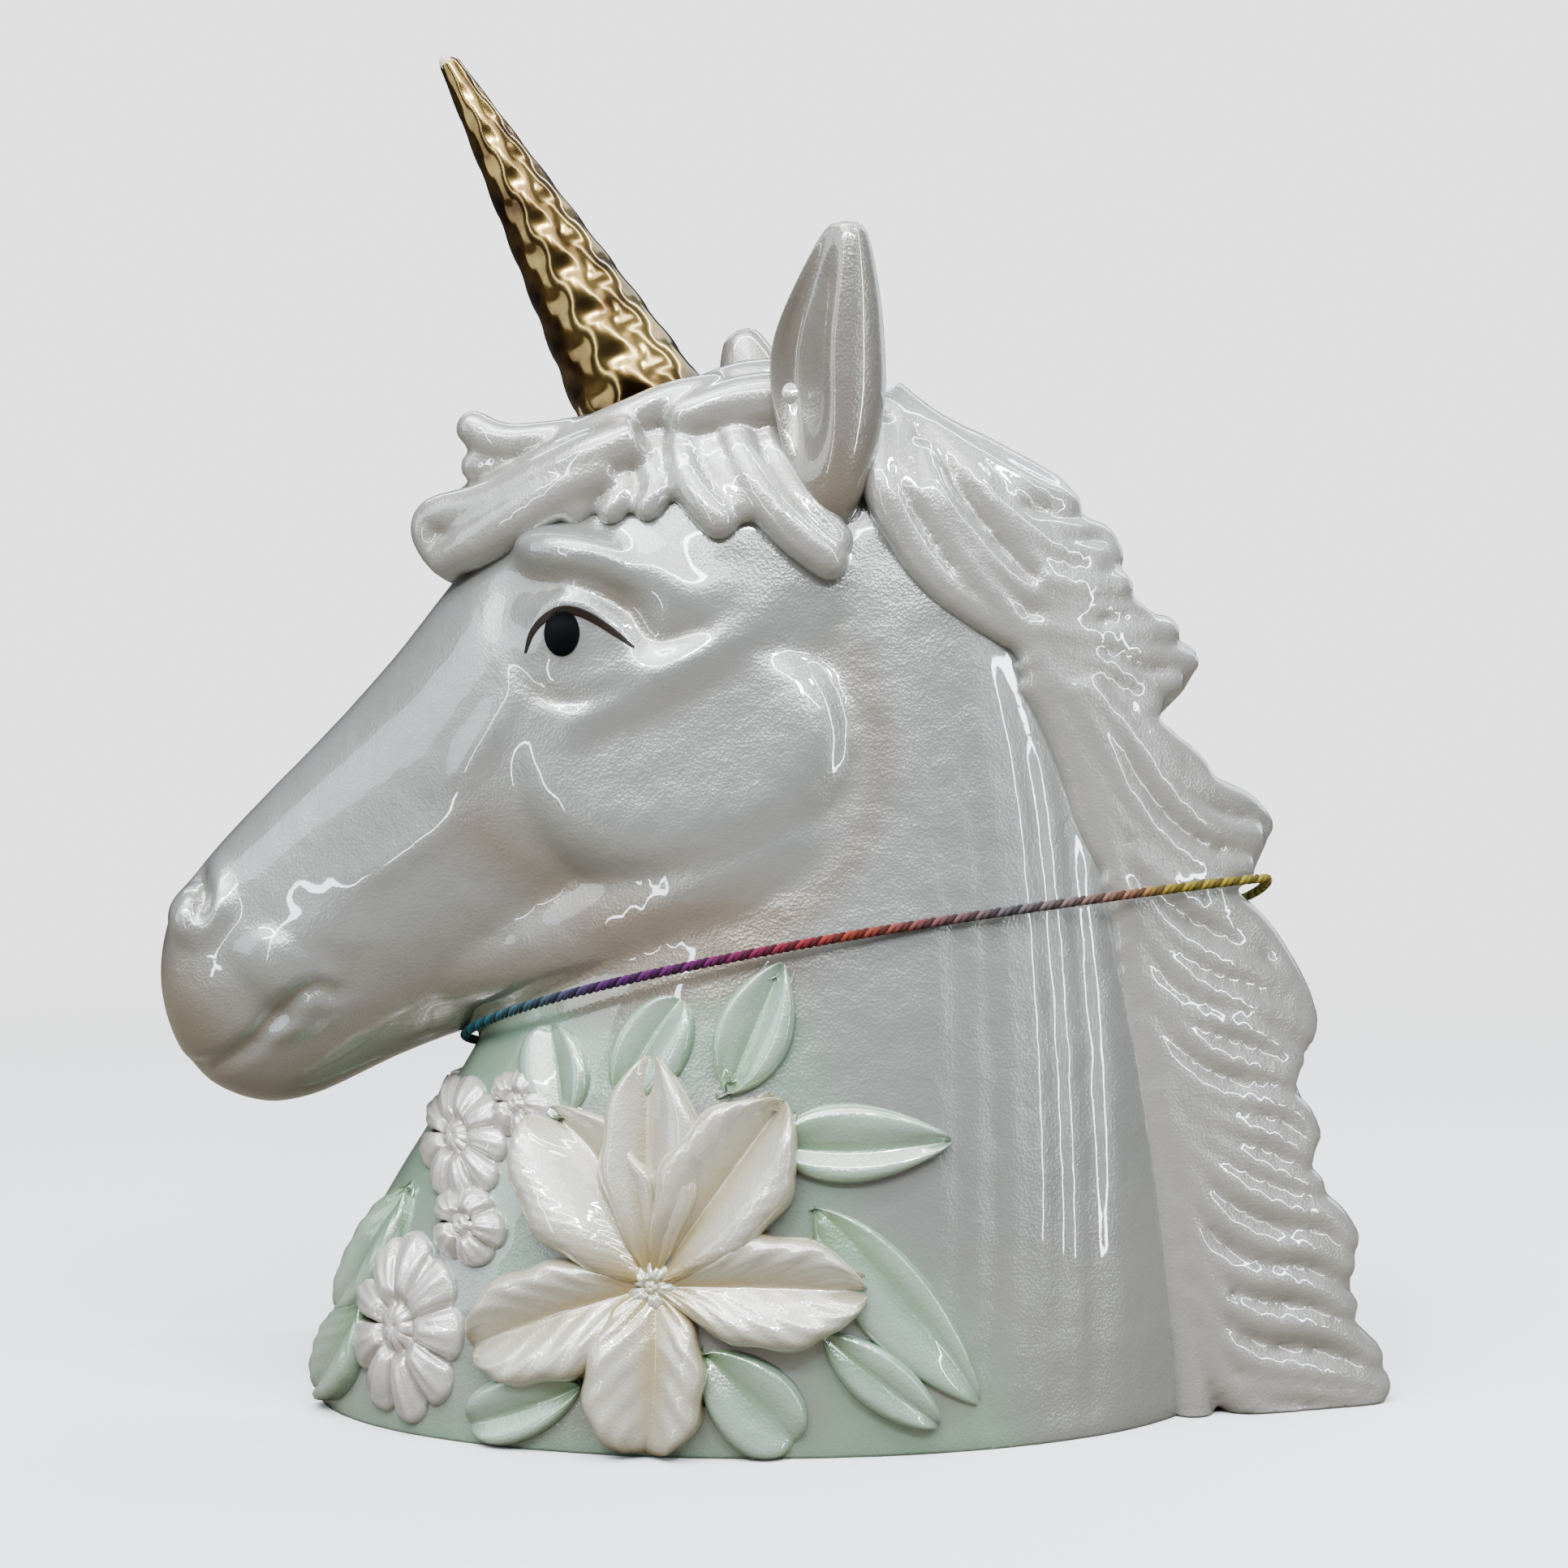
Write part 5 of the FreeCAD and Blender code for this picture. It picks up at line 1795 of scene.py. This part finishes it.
# ------------------------------------------------------------------ camera, lights and floor
@dataclass
class Stage:
    """The camera, the studio lights and the floor.

    Each light is its name, its place, the point it is aimed at, its size in metres and its power.
    """

    camera_place: Point3 = (1.2, -331.0, 85.0)
    lens: float = 54.04
    lights: tuple[Lamp, ...] = (
        ("key", (-200, -330, 760), (0, 0, 90), (0.4, 0.25), 2.6),
        ("tube_front", (-60, -560, 560), (0, 0, 80), (1.1, 0.02), 4.2),
        ("tube_high", (40, -180, 700), (0, 0, 80), (1.2, 0.03), 4.5),
        ("tube_back", (60, 300, 620), (0, 0, 80), (1.2, 0.04), 4.5),
        ("tube_side", (560, -420, 330), (0, 0, 90), (0.02, 0.9), 2.4),
        ("tube_left", (-420, -560, 250), (0, 0, 90), (0.02, 0.6), 1.0),
        ("window", (-620, -260, 330), (-40, 0, 80), (0.3, 0.5), 1.2),
        ("spot_one", (130, -420, 420), (0, 0, 90), (0.03, 0.03), 0.9),
        ("spot_two", (-170, -450, 470), (0, 0, 90), (0.03, 0.03), 0.9),
        ("spot_three", (320, -330, 560), (0, 0, 90), (0.04, 0.04), 1.0),
        ("behind", (500, 420, 420), (0, 0, 80), (0.5, 0.5), 2.0),
    )
    cool: Colour = (0.82, 0.91, 1.0)
    sky_power: float = 3.2
    bounce: Colour = (0.13, 0.11, 0.085)
    seen: Colour = (2.6, 2.6, 2.6)
    fade: Point = (0.15, 0.9)
    floor_size: float = 60.0
    ceiling: Colour = (0.40, 0.42, 0.46)
    walls: Colour = (0.07, 0.07, 0.073)
    ground: Colour = (0.10, 0.09, 0.08)

    def build(self) -> None:
        """Sets up everything that isn't the bust."""
        bpy.ops.object.camera_add(location=[c * MM for c in self.camera_place], rotation=(math.pi / 2, 0, 0))
        camera = bpy.context.object
        camera.data.lens = self.lens
        camera.data.clip_start = 0.01
        bpy.context.scene.camera = camera
        for name, place, target, size, power in self.lights:
            self.light(name, place, target, size, power)
        turn = (math.radians(28), math.radians(-14), 0)
        bpy.ops.object.light_add(type="SUN", location=(0, 0, 2), rotation=turn)
        sky = bpy.context.object
        sky.name = "sky"
        sky.data.energy = self.sky_power
        sky.data.angle = math.radians(60)
        self.room()
        bpy.ops.mesh.primitive_plane_add(size=self.floor_size, location=(0, 0, 0))
        floor = bpy.context.object
        floor.name = "floor"
        floor.data.materials.append(self.paper())
        floor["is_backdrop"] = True

    def paper(self) -> bpy.types.Material:
        """Pale paper for the floor, which throws a dimmer, warmer light back on to the bust.

        Far from the bust it turns into the backdrop, as a studio's paper sweep does. From
        below it is clear, so that the foot and its plug can be looked at.
        """
        material = Plain("floor paper", (0.90, 0.90, 0.89), 0.9, mottle=0.02).material()
        tree = material.node_tree
        nodes, links = tree.nodes, tree.links
        bounce = nodes.new("ShaderNodeBsdfDiffuse")
        bounce.inputs["Color"].default_value = (*self.bounce, 1.0)
        place = nodes.new("ShaderNodeNewGeometry")
        distance = nodes.new("ShaderNodeVectorMath")
        distance.operation = "LENGTH"
        links.new(place.outputs["Position"], distance.inputs[0])
        fade = nodes.new("ShaderNodeMapRange")
        fade.inputs["From Min"].default_value, fade.inputs["From Max"].default_value = self.fade
        fade.interpolation_type = "SMOOTHSTEP"
        links.new(distance.outputs["Value"], fade.inputs["Value"])
        glow = nodes.new("ShaderNodeEmission")
        set_sockets(glow, {"Color": (1.0, 1.0, 1.0, 1.0), "Strength": self.seen[0]})
        paper = nodes["Principled BSDF"].outputs["BSDF"]
        sweep = mixed(tree, fade.outputs["Result"], paper, glow.outputs["Emission"])
        path = nodes.new("ShaderNodeLightPath")
        above = mixed(tree, path.outputs["Is Camera Ray"], bounce.outputs["BSDF"], sweep)
        clear = nodes.new("ShaderNodeBsdfTransparent").outputs["BSDF"]
        surface = mixed(tree, place.outputs["Backfacing"], above, clear)
        links.new(surface, nodes["Material Output"].inputs["Surface"])
        return material

    def room(self) -> None:
        """The room's light: bright above, dim walls, and a pale backdrop."""
        world = bpy.data.worlds.new("studio")
        bpy.context.scene.world = world
        world.use_nodes = True
        tree = world.node_tree
        nodes, links = tree.nodes, tree.links
        place = nodes.new("ShaderNodeTexCoord")
        split = nodes.new("ShaderNodeSeparateXYZ")
        links.new(place.outputs["Generated"], split.inputs["Vector"])
        height = nodes.new("ShaderNodeMapRange")
        height.inputs["From Min"].default_value = -1.0
        links.new(split.outputs["Z"], height.inputs["Value"])
        ramp = nodes.new("ShaderNodeValToRGB")
        low, middle, high = self.ground, self.walls, self.ceiling
        stops = ((0.0, low), (0.46, low), (0.52, middle), (0.74, middle), (0.9, high))
        while len(ramp.color_ramp.elements) < len(stops):
            ramp.color_ramp.elements.new(0.5)
        for element, (spot, colour) in zip(ramp.color_ramp.elements, stops):
            element.position, element.color = spot, (*colour, 1.0)
        links.new(height.outputs["Result"], ramp.inputs["Fac"])
        room = nodes["Background"]
        links.new(ramp.outputs["Color"], room.inputs["Color"])
        backdrop = nodes.new("ShaderNodeBackground")
        backdrop.inputs["Color"].default_value = (*self.seen, 1.0)
        path = nodes.new("ShaderNodeLightPath")
        seen = path.outputs["Is Camera Ray"]
        surface = mixed(tree, seen, room.outputs["Background"], backdrop.outputs["Background"])
        links.new(surface, nodes["World Output"].inputs["Surface"])

    def light(self, name: str, place: Point3, target: Point3, size: Point, power: float) -> None:
        """One area light, aimed at a point."""
        start, end = Vector(place) * MM, Vector(target) * MM
        bpy.ops.object.light_add(type="AREA", location=start)
        lamp = bpy.context.object
        lamp.name = name
        lamp.data.shape = "RECTANGLE"
        lamp.data.size, lamp.data.size_y = size
        lamp.data.energy = power
        lamp.data.color = self.cool
        lamp.rotation_euler = (end - start).to_track_quat("-Z", "Y").to_euler()


def main() -> None:
    """Builds the bust piece by piece."""
    Stage().build()
    Yarn().build(wool_material())
    # each glaze's pool colour also paints the shade in its creases
    white = Glaze("pearl glaze", (0.24, 0.238, 0.222)).material()
    blossom = Glaze("blossom glaze", (0.46, 0.43, 0.40), pool=(0.26, 0.20, 0.15), pearl=0.06).material()
    cream = Glaze("cream wash", (0.48, 0.455, 0.385), pool=(0.30, 0.20, 0.055), pearl=0.05).material()
    green = Glaze("green wash", (0.30, 0.39, 0.31), pool=(0.12, 0.21, 0.10), pearl=0.06).material()
    maker = Bust()
    bust = maker.skin()
    skin = Skin(BVHTree.FromObject(bust, bpy.context.evaluated_depsgraph_get()))
    maker.glaze(bust)
    maker.hollowed(bust)
    bust.data.materials.append(white)
    finished(bust, "bust", ["bust_shell"], "pearl_glaze")
    hair = Glaze("hair glaze", (0.32, 0.308, 0.285), pool=(0.17, 0.13, 0.095), pearl=0.16).material()
    Mane().build(hair)
    Forelock().build(skin, hair)
    Ear().build(white)
    Horn().build(gold_material(), Plain("chipped porcelain", (0.62, 0.50, 0.46), 0.55).material())
    black = Plain("black paint", (0.002, 0.002, 0.003), 0.4, specular=0.04).material()
    brown = Plain("brown paint", (0.016, 0.010, 0.007), 0.4, specular=0.1).material()
    Eye().build(skin, black, brown)
    Sprigs().build(skin, cream, green, blossom)
    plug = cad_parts["plug"]
    plug.data.materials.clear()
    plug.data.materials.append(Plain("soft rubber", (0.62, 0.61, 0.57), 0.6).material())


if __name__ == "__main__":
    main()
    [[list(corner) for corner in box] for box in (CAD_BOX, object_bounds())]
